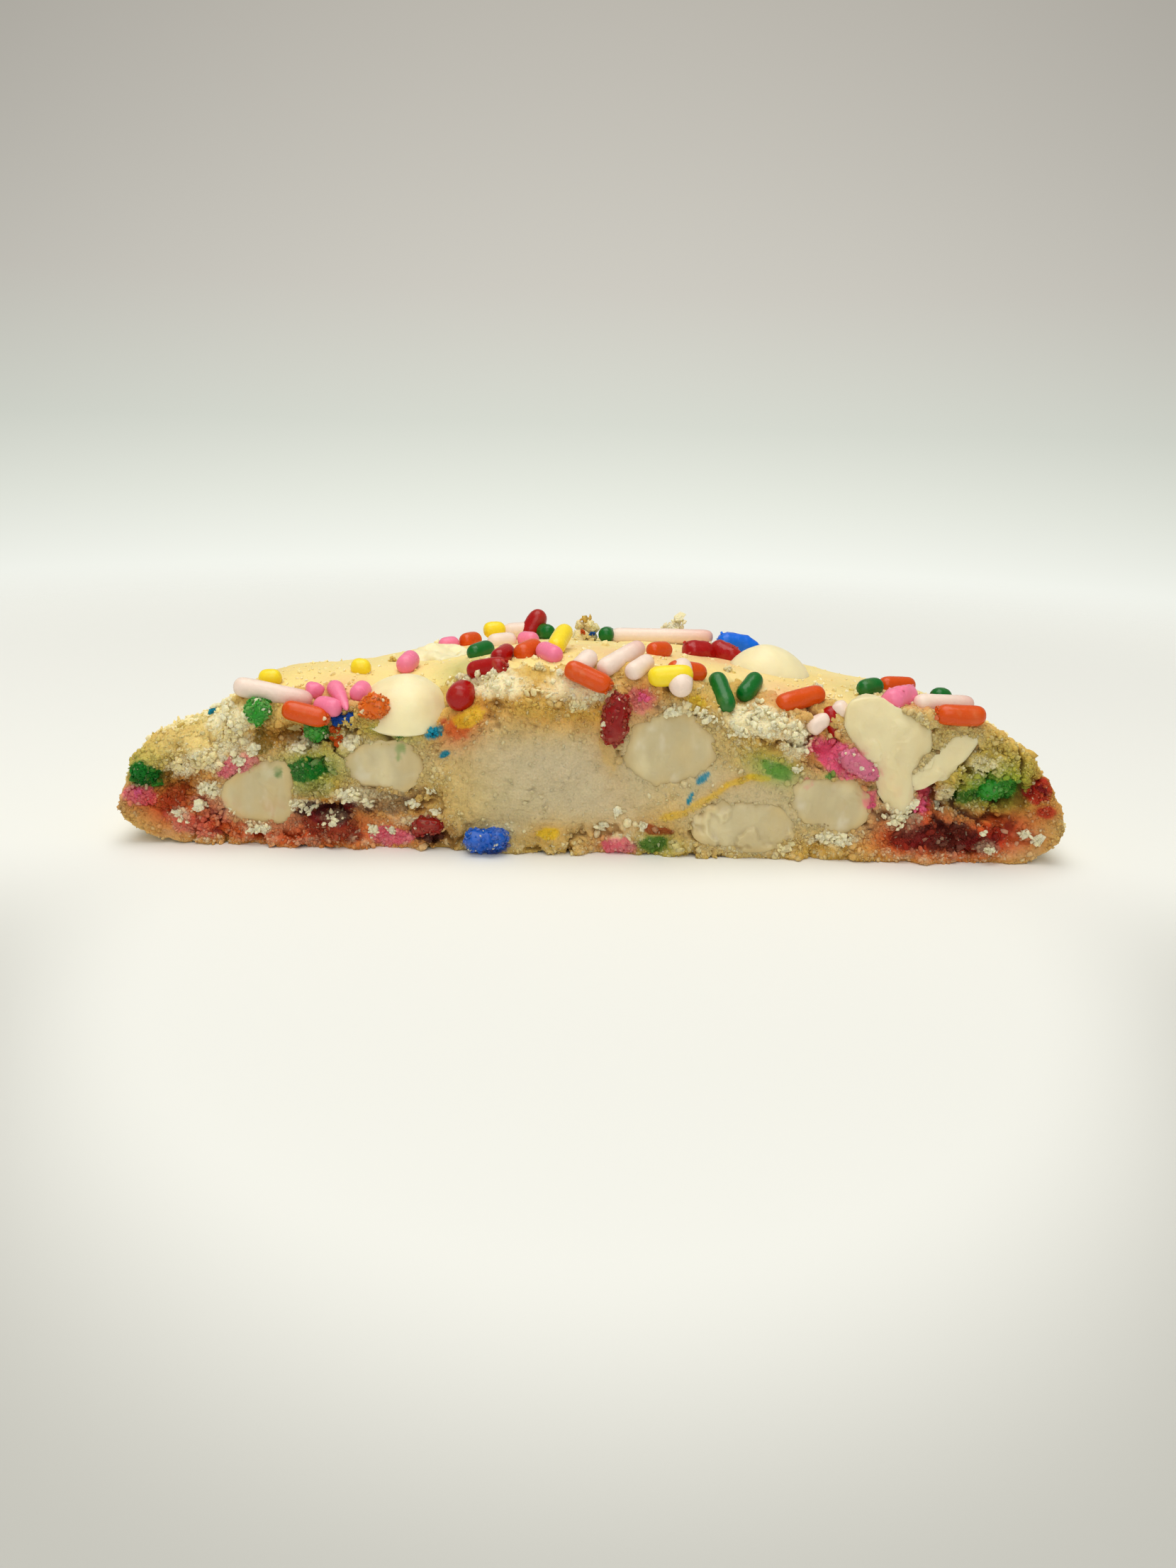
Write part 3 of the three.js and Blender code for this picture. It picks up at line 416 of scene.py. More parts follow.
def loft(rings):
    """Rings of points, closed round each ring, with both ends fanned to their middles.

    rings is (count, around, 3). Returns points, four-cornered faces and three-cornered ones.
    """
    count, around, _ = rings.shape
    ends = np.array([rings[0].mean(axis=0), rings[-1].mean(axis=0)])
    points = np.concatenate([rings.reshape(-1, 3), ends])
    start = (np.arange(count - 1) * around)[:, None]
    here = np.arange(around)[None, :]
    beside = (here + 1) % around
    quads = np.stack([start + here, start + beside, start + around + beside, start + around + here],
                     axis=-1).reshape(-1, 4)
    first, last = count * around, count * around + 1
    tail = (count - 1) * around
    here, beside = here[0], beside[0]
    fans = np.concatenate([
        np.stack([np.full(around, first), beside, here], axis=-1),
        np.stack([np.full(around, last), tail + here, tail + beside], axis=-1)])
    return points, quads, fans


def joined(parts):
    """Several lofts as one: each part's faces are moved past the points before it."""
    points, quads, fans, past = [], [], [], 0
    for part_points, part_quads, part_fans in parts:
        points.append(part_points)
        quads.append(part_quads + past)
        fans.append(part_fans + past)
        past += len(part_points)
    return np.concatenate(points), np.concatenate(quads), np.concatenate(fans)


def outward(points, quads, fans):
    """The same faces, turned round where the volume that they enclose comes out negative."""
    corners = np.concatenate([quads[:, [0, 1, 2]], quads[:, [0, 2, 3]], fans])
    a, b, c = points[corners[:, 0]], points[corners[:, 1]], points[corners[:, 2]]
    if np.einsum("ij,ij->", a, np.cross(b, c)) < 0:
        return quads[:, ::-1], fans[:, ::-1]
    return quads, fans


def make_piece(name, shape, finish, replaced=(), tints=None, smooth=True):
    """A mesh object from a loft, in metres on the frame, riding on the one body."""
    points, quads, fans = shape
    quads, fans = outward(points, quads, fans)
    mesh = bpy.data.meshes.new(name)
    mesh.vertices.add(len(points))
    mesh.vertices.foreach_set("co", ((points - HALF_CENTRE) * MM).ravel())
    corners = np.concatenate([quads.ravel(), fans.ravel()]).astype(np.int32)
    sizes = np.concatenate([np.full(len(quads), 4), np.full(len(fans), 3)]).astype(np.int32)
    mesh.loops.add(len(corners))
    mesh.loops.foreach_set("vertex_index", corners)
    mesh.polygons.add(len(sizes))
    mesh.polygons.foreach_set("loop_start", np.concatenate([[0], np.cumsum(sizes)[:-1]]))
    mesh.polygons.foreach_set("loop_total", sizes)
    mesh.polygons.foreach_set("use_smooth", np.full(len(sizes), smooth))
    if tints is not None:
        layer = mesh.color_attributes.new("tint", "FLOAT_COLOR", "POINT")
        opaque = np.concatenate([tints, np.ones((len(tints), 1))], axis=1)
        layer.data.foreach_set("color", opaque.ravel())
    mesh.update(calc_edges=True)
    mesh.validate()
    mesh.materials.append(finish)
    piece = bpy.data.objects.new(name, mesh)
    bpy.context.scene.collection.objects.link(piece)
    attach(piece, "root")
    if replaced:
        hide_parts(*replaced)
    return piece


def ring_normals(rings, axis, sign, where):
    """Unit normals of a lofted grid, which mostly point along an axis where a mask says so."""
    along = np.gradient(rings, axis=0)
    around = np.roll(rings, -1, axis=1) - np.roll(rings, 1, axis=1)
    normal = np.cross(around, along)
    normal = normal / np.maximum(np.linalg.norm(normal, axis=-1, keepdims=True), 1e-9)
    return normal * np.sign((normal[..., axis] * sign * where).sum())


def stations(count):
    """Places along x from tip to tip, drawn a little closer together near the tips."""
    left, right = -outline_radius(np.pi), outline_radius(0.0)
    share = np.linspace(0, 1, count)
    eased_share = 0.75 * share + 0.25 * (1 - np.cos(np.pi * share)) / 2
    return (left + 0.03 + (right - left - 0.06) * eased_share)[:, None]


def side_by_side(*stretches):
    """Columns of y and z joined side by side into one loop of points for each station."""
    y = np.concatenate([part[0] for part in stretches], axis=1)
    z = np.concatenate([part[1] for part in stretches], axis=1)
    return y, z


# ---- colours of the dough ----


def dye_mask(x, z, points, mark, seed):
    """Core and halo of one dye mark: an ellipse whose distance is stirred by noise."""
    _, mid_x, mid_z, width, height, turn, core, halo = mark
    angle = math.radians(turn)
    along = (x - mid_x) * math.cos(angle) + (z - mid_z) * math.sin(angle)
    across = (z - mid_z) * math.cos(angle) - (x - mid_x) * math.sin(angle)
    far = np.sqrt((along / width) ** 2 + (across / height) ** 2)
    stirred = far + 0.32 * layered_noise(points, 1.1, seed, 3)
    stirred = stirred + 0.26 * layered_noise(points, 0.42, seed + 1, 2)
    return core * eased(1.14, 0.80, stirred), np.minimum(1.35 * halo, 1) * np.exp(-(far / 1.7) ** 2)


def mixed(colour, other, share):
    """One colour on the way to another by a share for each point."""
    return colour + (np.asarray(other) - colour) * share[..., None]


def painted_all(colour, points):
    """One colour for every point."""
    return np.broadcast_to(np.array(colour[:3]), points.shape).copy()


def loft_tints(tints):
    """The tints of a grid of rings in the order of its loft's points, with both end middles."""
    return np.concatenate([tints.reshape(-1, 3), tints[0, :1], tints[-1, :1]])


def crumb_shade(colour, colours):
    """A listed crumb's colour: frosty, or one of the dyes."""
    return np.array(colours.frost[:3] if colour == "frost" else DYES[colour])


# ---- the broken face ----

CORNER_ROWS = 8
TOP_ROWS = 30


def edge_round(x):
    """Radius of the corner between the break and the top: wider on the left slope."""
    return 0.9 + 0.7 * bell(x + 4, 9) + 1.6 * bell(x + 36, 6) + 0.4 * bell(x - 14, 5)


def crust_edge(points):
    """How far behind the break the crust begins: a ragged line along x."""
    line = points * np.array([1.0, 0.15, 0.0])
    ragged = 0.9 * layered_noise(line, 2.6, 91) + 0.4 * layered_noise(line, 0.8, 94)
    return np.maximum(1.0 + 0.75 * crumbled_edge(points[..., 0]) + ragged, 0.3)


def break_rings(sizes):
    """One loop for each station: under the front edge, up the break, round and over the top.

    The front rises at y = 0, the corner is a quarter circle, the top follows the dome up to the
    ragged line where the crust begins and dives below it, and the loop closes inside the dough.
    """
    x = stations(sizes.break_stations)
    low, high, depth = base_height(x, 0 * x), top_height(x, 0 * x), depth_at(x)
    round_mm = np.minimum(np.minimum(edge_round(x), 0.45 * (high - low)), 0.25 * depth)
    under = np.minimum(2.4, 0.4 * depth) * np.array([[1.0, 0.6, 0.25]])
    front_share = np.linspace(0, 1, sizes.break_rows)[None, :]
    front_z = low + 0.04 + (high - round_mm - low - 0.04) * front_share
    angle = np.linspace(0, np.pi / 2, CORNER_ROWS + 2)[None, 1:-1]
    corner_y = round_mm * (1 - np.cos(angle))
    corner_z = top_height(x, corner_y) - round_mm * (1 - np.sin(angle))
    edge = np.minimum(crust_edge(np.concatenate([x, 0 * x, 0 * x], axis=1))[:, None], 0.45 * depth)
    zone = np.maximum(edge + 1.7, round_mm + 1.0)
    zone = np.minimum(zone, 0.8 * depth)
    top_y = round_mm + (zone - round_mm) * np.linspace(0, 1, TOP_ROWS)[None, :]
    dive = 2.1 * eased(edge + 0.2, zone, top_y) * np.minimum(1, (high - low) / 6)
    top_z = top_height(x, top_y) - dive
    y, z = side_by_side((under, low + 0.05 + 0 * under), (0 * front_z, front_z),
                        (corner_y, corner_z), (top_y, top_z),
                        (zone * 0.9, low + 0.45 * (high - low)))
    frontness = np.concatenate([np.zeros_like(under), np.ones_like(front_z),
                                np.cos(angle) + 0 * corner_y, 0 * top_y, 0 * zone], axis=1)
    y = y + break_depth(x, z, 1 - 0.75 * softness(x, z)) * frontness * np.minimum(1, depth / 8)
    return np.stack([x + 0 * y, y, z], axis=-1), frontness


def outline_radii(radii, angle):
    """A smooth closed outline: Catmull-Rom curves between the radii, which lie evenly round."""
    radii = np.asarray(radii)
    place = (angle / (2 * np.pi) * len(radii)) % len(radii)
    i = np.floor(place).astype(int)
    t = place - i
    a, b, c, d = (radii[(i + step) % len(radii)] for step in (-1, 0, 1, 2))
    return b + 0.5 * t * (c - a + t * (2 * a - 5 * b + 4 * c - d + t * (3 * (b - c) + d - a)))


def chip_share(x, z, chip):
    """How far a point of the break lies out on a chip: 1 on the chip's outline."""
    (mid_x, mid_z), radii = chip[0], chip[1]
    angle = np.arctan2(z - mid_z, x - mid_x)
    return np.hypot(x - mid_x, z - mid_z) / outline_radii(radii, angle)


def softness(x, z):
    """1 in the smooth, hardly baked middle of the break and at its two baked tips, else 0."""
    middle = np.exp(-((x + 2.5) / 11.5) ** 4 - ((z - 7.4) / 5.6) ** 4)
    middle = np.maximum(middle, 0.85 * np.exp(-((x - 13.5) / 7.5) ** 4 - ((z - 6.2) / 3.6) ** 4))
    tips = np.exp(-((x + 42.5) / 4.0) ** 4 - ((z - 1.5) / 2.6) ** 4)
    tips = tips + np.exp(-((x - 42.5) / 3.4) ** 4 - ((z - 2.6) / 3.4) ** 4)
    return np.minimum(middle + 0.8 * tips, 1)


def crumb_relief(points, rough):
    """Relief of broken crumb in mm, and how proud its grains stand, from about -1 to 1.

    Slow swells carry packed grains of three sizes, gathered in patches so that craggy stretches
    alternate with closer crumb, and thin clefts run between them.
    """
    patches = 0.5 + 0.8 * eased(-0.35, 0.45, layered_noise(points, 3.6, 15, 2))
    hump = bell(points[..., 0] + 1, 12) * eased(10.5, 12.5, points[..., 2])
    swell = 0.40 * layered_noise(points, 3.2, 11)
    coarse, middle, fine = lumps(points, 1.15, 21), lumps(points, 0.55, 24), lumps(points, 0.32, 27)
    packed = patches * (0.20 * coarse + 0.15 * middle + 0.10 * fine)
    clefts = -0.95 * eased(0.17, 0.0, np.abs(layered_noise(points, 2.6, 31, 3)))
    clefts = clefts * eased(-0.1, 0.35, layered_noise(points, 5.0, 37, 2)) * (1 - hump)
    calm = 0.05 * layered_noise(points, 2.4, 41) + 0.03 * lumps(points, 0.45, 44)
    plates = layered_noise(points * np.array([0.7, 1, 1.5]), 2.1, 51, 3)
    plates = 0.20 * eased(0.18, 0.22, plates) + 0.14 * eased(0.42, 0.45, plates)
    ledges = layered_noise(points * np.array([0.8, 1, 1.6]), 1.1, 57, 3)
    plates = plates + 0.13 * eased(0.30, 0.33, ledges)
    relief = rough * (swell + packed + clefts) + (1 - rough) * (calm + plates)
    return relief, 0.45 * coarse + 0.35 * middle + 0.2 * fine + 1.2 * clefts


def bled(colour, points, share):
    """Lays the crust's dye marks over a colour, where the share says that there is crust."""
    for dye, mid_x, mid_y, radius, strength in TOP_DYES:
        away = (points[..., 0] - mid_x) ** 2 + (points[..., 1] - mid_y) ** 2
        near = np.exp(-away / radius ** 2)
        colour = mixed(colour, DYES[dye], strength * near * share)
    return colour


def dyed_and_shaded(colour, points, strength, halos=1.0):
    """Lays the break's dye marks and its greyish painted shade marks over a colour, and says how much of
    each point they cover.
    """
    x, z = points[..., 0], points[..., 2]
    granular = 0.84 + 0.16 * eased(-0.5, 0.4, lumps(points, 0.40, 71))
    covered = np.zeros(x.shape)
    for index, mark in enumerate(BREAK_DYES_AND_SHADES):
        near = np.hypot(x - mark[1], z - mark[2]) < 3.2 * max(mark[3], mark[4])
        if not near.any():
            continue
        spot, faced = points[near], strength[near]
        core, halo = dye_mask(x[near], z[near], spot, mark, 81 + 3 * index)
        dye, under = np.array(DYES[mark[0]]), colour[near]
        stained = under * (0.25 + 0.75 * dye / dye.max())
        under = mixed(under, stained, halos * halo * faced)
        core = core * granular[near] * faced
        colour[near] = mixed(under, dye, core)
        covered[near] = np.maximum(covered[near], np.maximum(core, 0.7 * halo * faced))
    return colour, covered


def frosting(points):
    """How thick the frosty grains lie: a thin drift everywhere, and the listed patches."""
    x, z = points[..., 0], points[..., 2]
    thick = 0.28 * eased(-0.2, 0.7, layered_noise(points, 2.8, 63))
    for mid_x, mid_z, width, height, strength in FROSTY_PATCHES:
        thick = np.maximum(thick, strength * bell(x - mid_x, width) * bell(z - mid_z, height))
    return np.maximum(thick, 0.30 * bell(z - 0.8, 1.0))


def crumb_colours(points, frontness, proud, colours):
    """Crumb tint: golden, darkened in the clefts as painted shade, stained by the dyes, and frosty on
    proud grains, partly as painted highlight.

    Returns the tint, and how frosty a loose crumb at each point may be.
    """
    x, z = points[..., 0], points[..., 2]
    colour = painted_all(colours.crumb, points)
    soft = softness(x, z) * frontness
    colour = mixed(colour, colours.raw[:3], soft)
    rough = 1 - soft
    patch = eased(-0.3, 0.6, layered_noise(points, 3.4, 61))
    colour = mixed(colour, DYES["gold"], rough * (0.10 + 0.55 * (1 - patch)))
    slope = frontness * bell(x + 36, 5.5) * eased(5.5, 8.5, z)
    colour = mixed(colour, colours.crust[:3], 0.7 * slope)
    # Painted shade: darker where the crumb sinks into clefts between proud grains.
    colour = mixed(colour, colours.cleft_shade[:3], rough * 0.9 * eased(0.2, -0.5, proud))
    colour = mixed(colour, DYES["gold"], 0.45 * eased(1.8, 0.3, z))
    colour, covered = dyed_and_shaded(colour, points, np.clip(frontness + 0.25, 0, 1))
    thick = frosting(points)
    # Frosty grains are the crumb's own pale colour; weighting them towards proud grains also paints
    # highlight there.
    frost = eased(0.62, 1.05, 0.40 * proud + 0.95 * thick + 0.25) * (1 - 0.9 * covered)
    colour = mixed(colour, 0.85 * np.array(colours.frost[:3]) + 0.15 * colour, rough * frost)
    pale = eased(0.3, 0.9, layered_noise(points, 1.6, 67))
    colour = mixed(colour, colours.frost[:3], 0.25 * soft * pale)
    for chip in BREAK_CHIPS.values():
        smear = eased(1.55, 1.0, chip_share(x, z, chip) + 0.12 * layered_noise(points, 1.3, 193))
        smear = smear * frontness * eased(-0.5, 0.5, proud + 0.6)
        # Chip colour smeared onto the crumb round each chip, in the chips' darker painted-shade colour.
        colour = mixed(colour, colours.shaded_cut_chip[:3], 0.38 * smear * (1 - 0.8 * covered))
    return bled(colour, points, 1 - frontness), thick * (1 - 0.9 * covered)


def crumb_surface(sizes, colours):
    """The finished grid of the broken face with its tints and its outward normals.

    Near a chip the face settles onto the level of the chip's own face, and inside its outline it
    steps back behind it, so that crumb laps over the chip's edge in an uneven line.
    """
    rings, frontness = break_rings(sizes)
    x, z = rings[..., 0], rings[..., 2]
    rough = 1 - 0.86 * softness(x, z) * frontness
    relief, proud = crumb_relief(rings, rough)
    relief = relief * sizes.crumb_relief
    hidden = np.zeros_like(frontness)
    hidden[:, :3] = 1
    hidden[:, -1] = 1
    normals = ring_normals(rings, 1, -1, frontness > 0.9)
    tip = np.minimum(1, depth_at(rings[:, :1, 0]) / 6)
    points = rings + normals * (relief * (1 - hidden) * tip)[..., None]
    ragged = 0.24 * layered_noise(rings, 1.9, 191) + 0.17 * layered_noise(rings, 0.6, 197)
    laps = np.zeros_like(frontness)
    for chip in BREAK_CHIPS.values():
        share = chip_share(x, z, chip) + ragged
        settled = 0.85 * eased(1.7, 1.05, share) * frontness
        level = chip[2] - 0.05 - 0.10 * proud
        points[..., 1] += settled * (level - points[..., 1])
        points[..., 1] += eased(1.0, 0.80, share) * frontness * 1.3
        laps = np.maximum(laps, bell(share - 0.99, 0.09) * frontness)
    points[..., 2] = np.maximum(points[..., 2], 0.0)
    tints, frosty = crumb_colours(points, frontness, proud, colours)
    proudest = 0.3 + 0.7 * eased(-0.5, 0.1, proud)
    chance = ((0.012 + proudest * rough ** 2) * (0.30 + frontness) + 0.2 * laps) * (1 - hidden)
    return points, normals, tints, frosty, chance * np.minimum(1, frontness + 0.3 * (rings[..., 1] < 4))


# ---- the crust ----

HIDDEN_ROWS = 4


def crust_rings(sizes):
    """One loop for each station: a hidden front, over the top to the back, and along the base."""
    x = stations(sizes.crust_stations)
    low, high, depth = base_height(x, 0 * x), top_height(x, 0 * x), depth_at(x)
    line = np.concatenate([x, 0 * x, 0 * x], axis=1)
    start = np.clip(crust_edge(line)[:, None] - 1.3, 0.4, 0.3 * depth)
    front_z = low + (high - 1.6 - low) * np.linspace(0, 1, HIDDEN_ROWS + 2)[None, 1:-1]
    share = np.linspace(0, 1, sizes.crust_rows)
    share = np.sin(np.pi / 2 * share ** 1.12) ** 1.05
    top_y = start + (depth - start) * share[None, :]
    top_y[:, -1] = depth[:, 0]
    line = np.stack([x + 0 * top_y, top_y, 0 * top_y], axis=-1)
    edge = np.minimum(crust_edge(line), 0.45 * depth)
    sunk = 1.9 * eased(edge + 0.15, edge - 0.35, top_y) * np.minimum(1, (high - low) / 8)
    top_z = np.where(top_y < depth, top_height(x, top_y), SIDE_HEIGHT) - sunk
    hidden_y = np.minimum(4.2, 0.5 * depth) + 0 * front_z
    base_start = np.minimum(3.0, 0.4 * depth)
    base_share = 1 - (1 - np.linspace(1, 0, 34)[None, 1:]) ** 1.5
    base_y = base_start + (depth - base_start) * base_share
    y, z = side_by_side((hidden_y, front_z), (top_y, top_z), (base_y, base_height(x, base_y)))
    kind = np.concatenate([np.zeros_like(front_z), np.ones_like(top_y), 0 * base_y + 2], axis=1)
    return np.stack([x + 0 * y, y, z], axis=-1), kind


def crust_surface(sizes, colours):
    """The crust's grid with low swells, fine wrinkles, a few cracks and a grainy side."""
    rings, kind = crust_rings(sizes)
    q = reach(rings[..., 0], rings[..., 1])
    side = eased(0.82, 1.0, q)
    swell = 0.20 * layered_noise(rings, 5.5, 101)
    fine = 0.05 * layered_noise(rings, 1.1, 111) + (0.025 + 0.06 * side) * lumps(rings, 0.55, 121)
    seam = np.abs(layered_noise(rings, 7.0, 131, 2))
    cracks = -0.35 * eased(0.035, 0.0, seam) * eased(0.1, 0.5, layered_noise(rings, 9.0, 141, 1))
    normals = ring_normals(rings, 2, 1, kind == 1)
    shown = (kind == 1) + 0.4 * (kind == 2)
    relief = (swell + fine + cracks) * shown * sizes.crust_relief
    points = rings + normals * relief[..., None]
    points[..., 2] = np.maximum(points[..., 2], 0.0)
    colour = painted_all(colours.crust, points)
    colour = mixed(colour, DYES["cream"], 0.35 * eased(-0.1, 0.6, layered_noise(points, 4.0, 151)))
    toasted = 0.45 * side * eased(-0.6, 0.5, layered_noise(points, 3.0, 161))
    colour = mixed(colour, colours.browned[:3], toasted)
    toasted = 0.75 * (kind == 2) * eased(0.3, 1.2, 2 - points[..., 2])
    colour = mixed(colour, colours.browned[:3], toasted)
    return points, normals, bled(colour, points, kind == 1)


# ---- chips ----


def break_chip(chip, seed):
    """A chip in the break: a nearly flat face in an uneven outline, rounded away behind.

    The rings run from the middle of the face (share 0) to the outline (share 1), over its edge,
    and back to a point behind, with the share falling as a quarter ellipse.
    """
    (mid_x, mid_z), radii, front, bulge, depth, crumble = chip
    around = np.linspace(0, 2 * np.pi, 96, endpoint=False)[None, :]
    face = np.linspace(0.02, 1, 40)[:, None]
    back = np.linspace(0.05, 1, 18)[:, None]
    share = np.concatenate([face, np.sqrt(np.maximum(1 - back ** 2, 0.0004))])
    face_y = front - bulge * (1 - face ** 2) + 0.15 * face ** 12
    y = np.concatenate([face_y, front + 0.15 + (depth - 0.15) * back])
    radius = share * outline_radii(radii, around)
    rings = np.stack([mid_x + radius * np.cos(around), y + 0 * radius,
                      mid_z + radius * np.sin(around)], axis=-1)
    fibres = upright_noise(rings, 0.25, 0.7, seed + 19)
    waves = (0.22 * layered_noise(rings, 2.6, seed) + 0.012 * fibres
             + crumble * 0.35 * layered_noise(rings, 1.2, seed + 5))
    torn = layered_noise(rings, 2.2, seed + 12) + 0.3 * layered_noise(rings, 0.9, seed + 13)
    steps = crumble * 0.9 * eased(0.08, 0.30, torn)
    rings[..., 1] -= waves + steps
    edge = (0.1 + 0.40 * layered_noise(rings, 1.4, seed + 15)) * share
    rings[..., 0] += edge * np.cos(around)
    rings[..., 2] = np.maximum(rings[..., 2] + edge * np.sin(around), 0.25)
    return loft(rings)


def drop_chip(chip, seed, torn=0.0):
    """A whole drop: flat foot, full shoulder and a small bent peak, gently uneven.

    Its half-width over the height u is radius * (1 - u^2.1)^0.62, as in the solid.
    """
    at, radius, height, tip = chip
    around = np.linspace(0, 2 * np.pi, 64, endpoint=False)[None, :]
    foot = np.linspace(0.02, 0.84, 8)[:, None]
    u = np.linspace(0, 1, 44)[:, None]
    body = np.maximum((1 - u ** 2.1) ** 0.62, 0.015)
    width = radius * np.concatenate([foot, body])
    level = np.concatenate([0 * foot, height * (0.12 + 0.88 * u)]) - height / 2
    swirl = 1 + 0.035 * np.cos(around - 2.2 * level / height * np.pi + seed)
    rings = np.stack([width * swirl * np.cos(around), width * swirl * np.sin(around),
                      level + 0 * around], axis=-1)
    bend = 0.35 * eased(0.1, 1.0, level / height + 0.5)
    rings[..., 0] += bend
    rings = rings * (1 + 0.02 * layered_noise(rings + 9 * seed, 3.0, seed)[..., None])
    if torn:
        rings = rings * (1 + torn * 0.3 * layered_noise(rings + 5 * seed, 2.2, seed + 3)[..., None])
        rings[..., 2] = np.minimum(rings[..., 2], 1.7 + 0.5 * value_noise(rings / 1.1, seed + 5))
    turn = Vector((0, 0, 1)).rotation_difference(Vector(tip).normalized()).to_matrix()
    return loft(rings @ np.array(turn).T + np.array(at))


def upright_noise(points, shrink, size, seed):
    """Noise whose features stand upright: heights are shrunk before it is looked up."""
    return layered_noise(points * np.array([1.0, 1.0, shrink]), size, seed)


def chip_tints(points, name, seed, colours):
    """A chip's tint: streaked; in the break darker as painted shade, with painted highlight on the deep
    ones, dye-stained, and the colour of dough at its rim.
    """
    # Chips in the break take the darker chip colour as painted shade of the break: fully where deep, 0.35
    # of it for the others in the break.
    shaded_share = 1.0 if name in DEEP_CHIPS else 0.35 * (name in BREAK_CHIPS)
    shade = mixed(np.array(colours.chip[:3]), colours.shaded_cut_chip[:3], np.array(shaded_share))
    streak = upright_noise(points, 0.6, 2.2, 500 + seed)
    tint = mixed(painted_all(shade, points), colours.chip[:3], 0.35 * eased(-0.1, 0.7, streak))
    tint = mixed(tint, DYES["gold"], 0.16 * eased(0.1, -0.7, streak))
    if name in DEEP_CHIPS:
        fibres = upright_noise(points, 0.22, 0.55, 520 + seed)
        # Painted highlight: bright glinting streaks and fibres; and faint painted shade along the darker
        # fibres.
        painted_glints = eased(0.15, 0.85, upright_noise(points, 0.6, 1.1, 540 + seed))
        tint = mixed(tint, colours.cleft_shade[:3], 0.025 * eased(0.1, -0.6, fibres))
        tint = mixed(tint, PAINTED_GLINT, 0.3 * painted_glints + 0.03 * eased(0.1, 0.5, fibres))
        rim = eased(0.62, 1.0, chip_share(points[:, 0], points[:, 2], BREAK_CHIPS[name]))
        tint = mixed(tint, DYES["gold"], 0.24 * rim)
        ragged = rim + 0.35 * layered_noise(points, 1.2, 580 + seed)
        dough = 0.5 * (np.array(colours.raw[:3]) + np.array(colours.crumb[:3]))
        tint = mixed(tint, dough, 0.55 * eased(0.55, 1.1, ragged))
    if name in BREAK_CHIPS:
        specks = eased(-0.05, 0.35, upright_noise(points, 0.55, 0.8, 560 + seed))
        faced = eased(1.5, 0.2, points[:, 1])
        tint = dyed_and_shaded(tint, points, 0.75 * specks * faced, 0.25)[0]
    return tint


# ---- sprinkles ----


def shoulder_jimmies():
    """Sprinkles round the shoulder, at the same places as in the solid."""
    rule, found = SHOULDER_JIMMIES, []
    spread = rule["outer"] ** 2 - rule["inner"] ** 2
    taken = [(row[1], row[2]) for row in TOP_JIMMIES]
    for n in range(rule["count"]):
        radius = math.sqrt(rule["inner"] ** 2 + spread * (n + 0.5) / rule["count"])
        x, y = radius * math.cos(n * GOLDEN_ANGLE), radius * math.sin(n * GOLDEN_ANGLE)
        crowded = any(math.hypot(x - a, y - b) < rule["spacing"] for a, b in taken)
        on_chip = any(math.hypot(x - at[0], y - at[1]) < wide + 1.6
                      for at, wide, _, _ in DROP_CHIPS.values())
        high = float(top_height(x, y)) + 0.3 * y > rule["sight"] - rule["fall"] * x ** 2
        if y > 12 and x > -34 and not crowded and not on_chip and not high:
            taken.append((x, y))
            colour = JIMMY_COLOURS[int(len(JIMMY_COLOURS) * steady_number(n + 900))]
            found.append((colour, x, y, 360 * steady_number(n),
                          3 + 2.4 * steady_number(n + 500), 0, None, "plain"))
    return found


def steady_number(seed):
    """A steady number from 0 to 1 for each seed."""
    wave = math.sin(seed * 12.9898 + 4.1414) * 43758.5453
    return wave - math.floor(wave)


def jimmy_rings(length, width, make, seed):
    """A sprinkle along +x: half-width w/2 * (1 - |s|^k)^0.5, with a taper, a bend and dents.

    s runs from -1 to 1 along it, and k grows with its slimness so that its ends stay blunt.
    """
    taper, rough, shorten = MAKES[make]
    around = np.linspace(0, 2 * np.pi, 20, endpoint=False)[None, :]
    s = -np.cos(np.linspace(0.02, np.pi - 0.02, 26))[:, None]
    blunt = 2.5 * max(length / width, 1.0)
    radius = width / 2 * np.sqrt(np.maximum(1 - np.abs(s) ** blunt, 0.0)) * (1 - taper * (s + 1) / 2)
    radius = np.maximum(radius, 0.02)
    if make == "broken":
        snapped = 0.86 * width / 2 * (1 + (s + 0.93) / 0.07)
        radius = np.where(s < -0.93, np.maximum(radius, snapped), radius)
    bend = 0.10 * math.sin(seed * 1.7) * (s ** 2 - 0.4)
    rings = np.stack([s * length / 2 * shorten + 0 * around, radius * np.cos(around) + bend,
                      radius * np.sin(around) + 0 * s], axis=-1)
    dents = rough * layered_noise(rings + 7.3 * seed, 0.9, seed + 3, 3)
    rings[..., 1] += dents * np.cos(around)
    rings[..., 2] += dents * np.sin(around)
    return rings


def placed(rings, heading, pitch, at):
    """Rings turned by a pitch about y and a heading about z, then moved."""
    turn = Matrix.Rotation(math.radians(heading), 3, "Z") @ Matrix.Rotation(-pitch, 3, "Y")
    return rings @ np.array(turn).T + np.asarray(at)


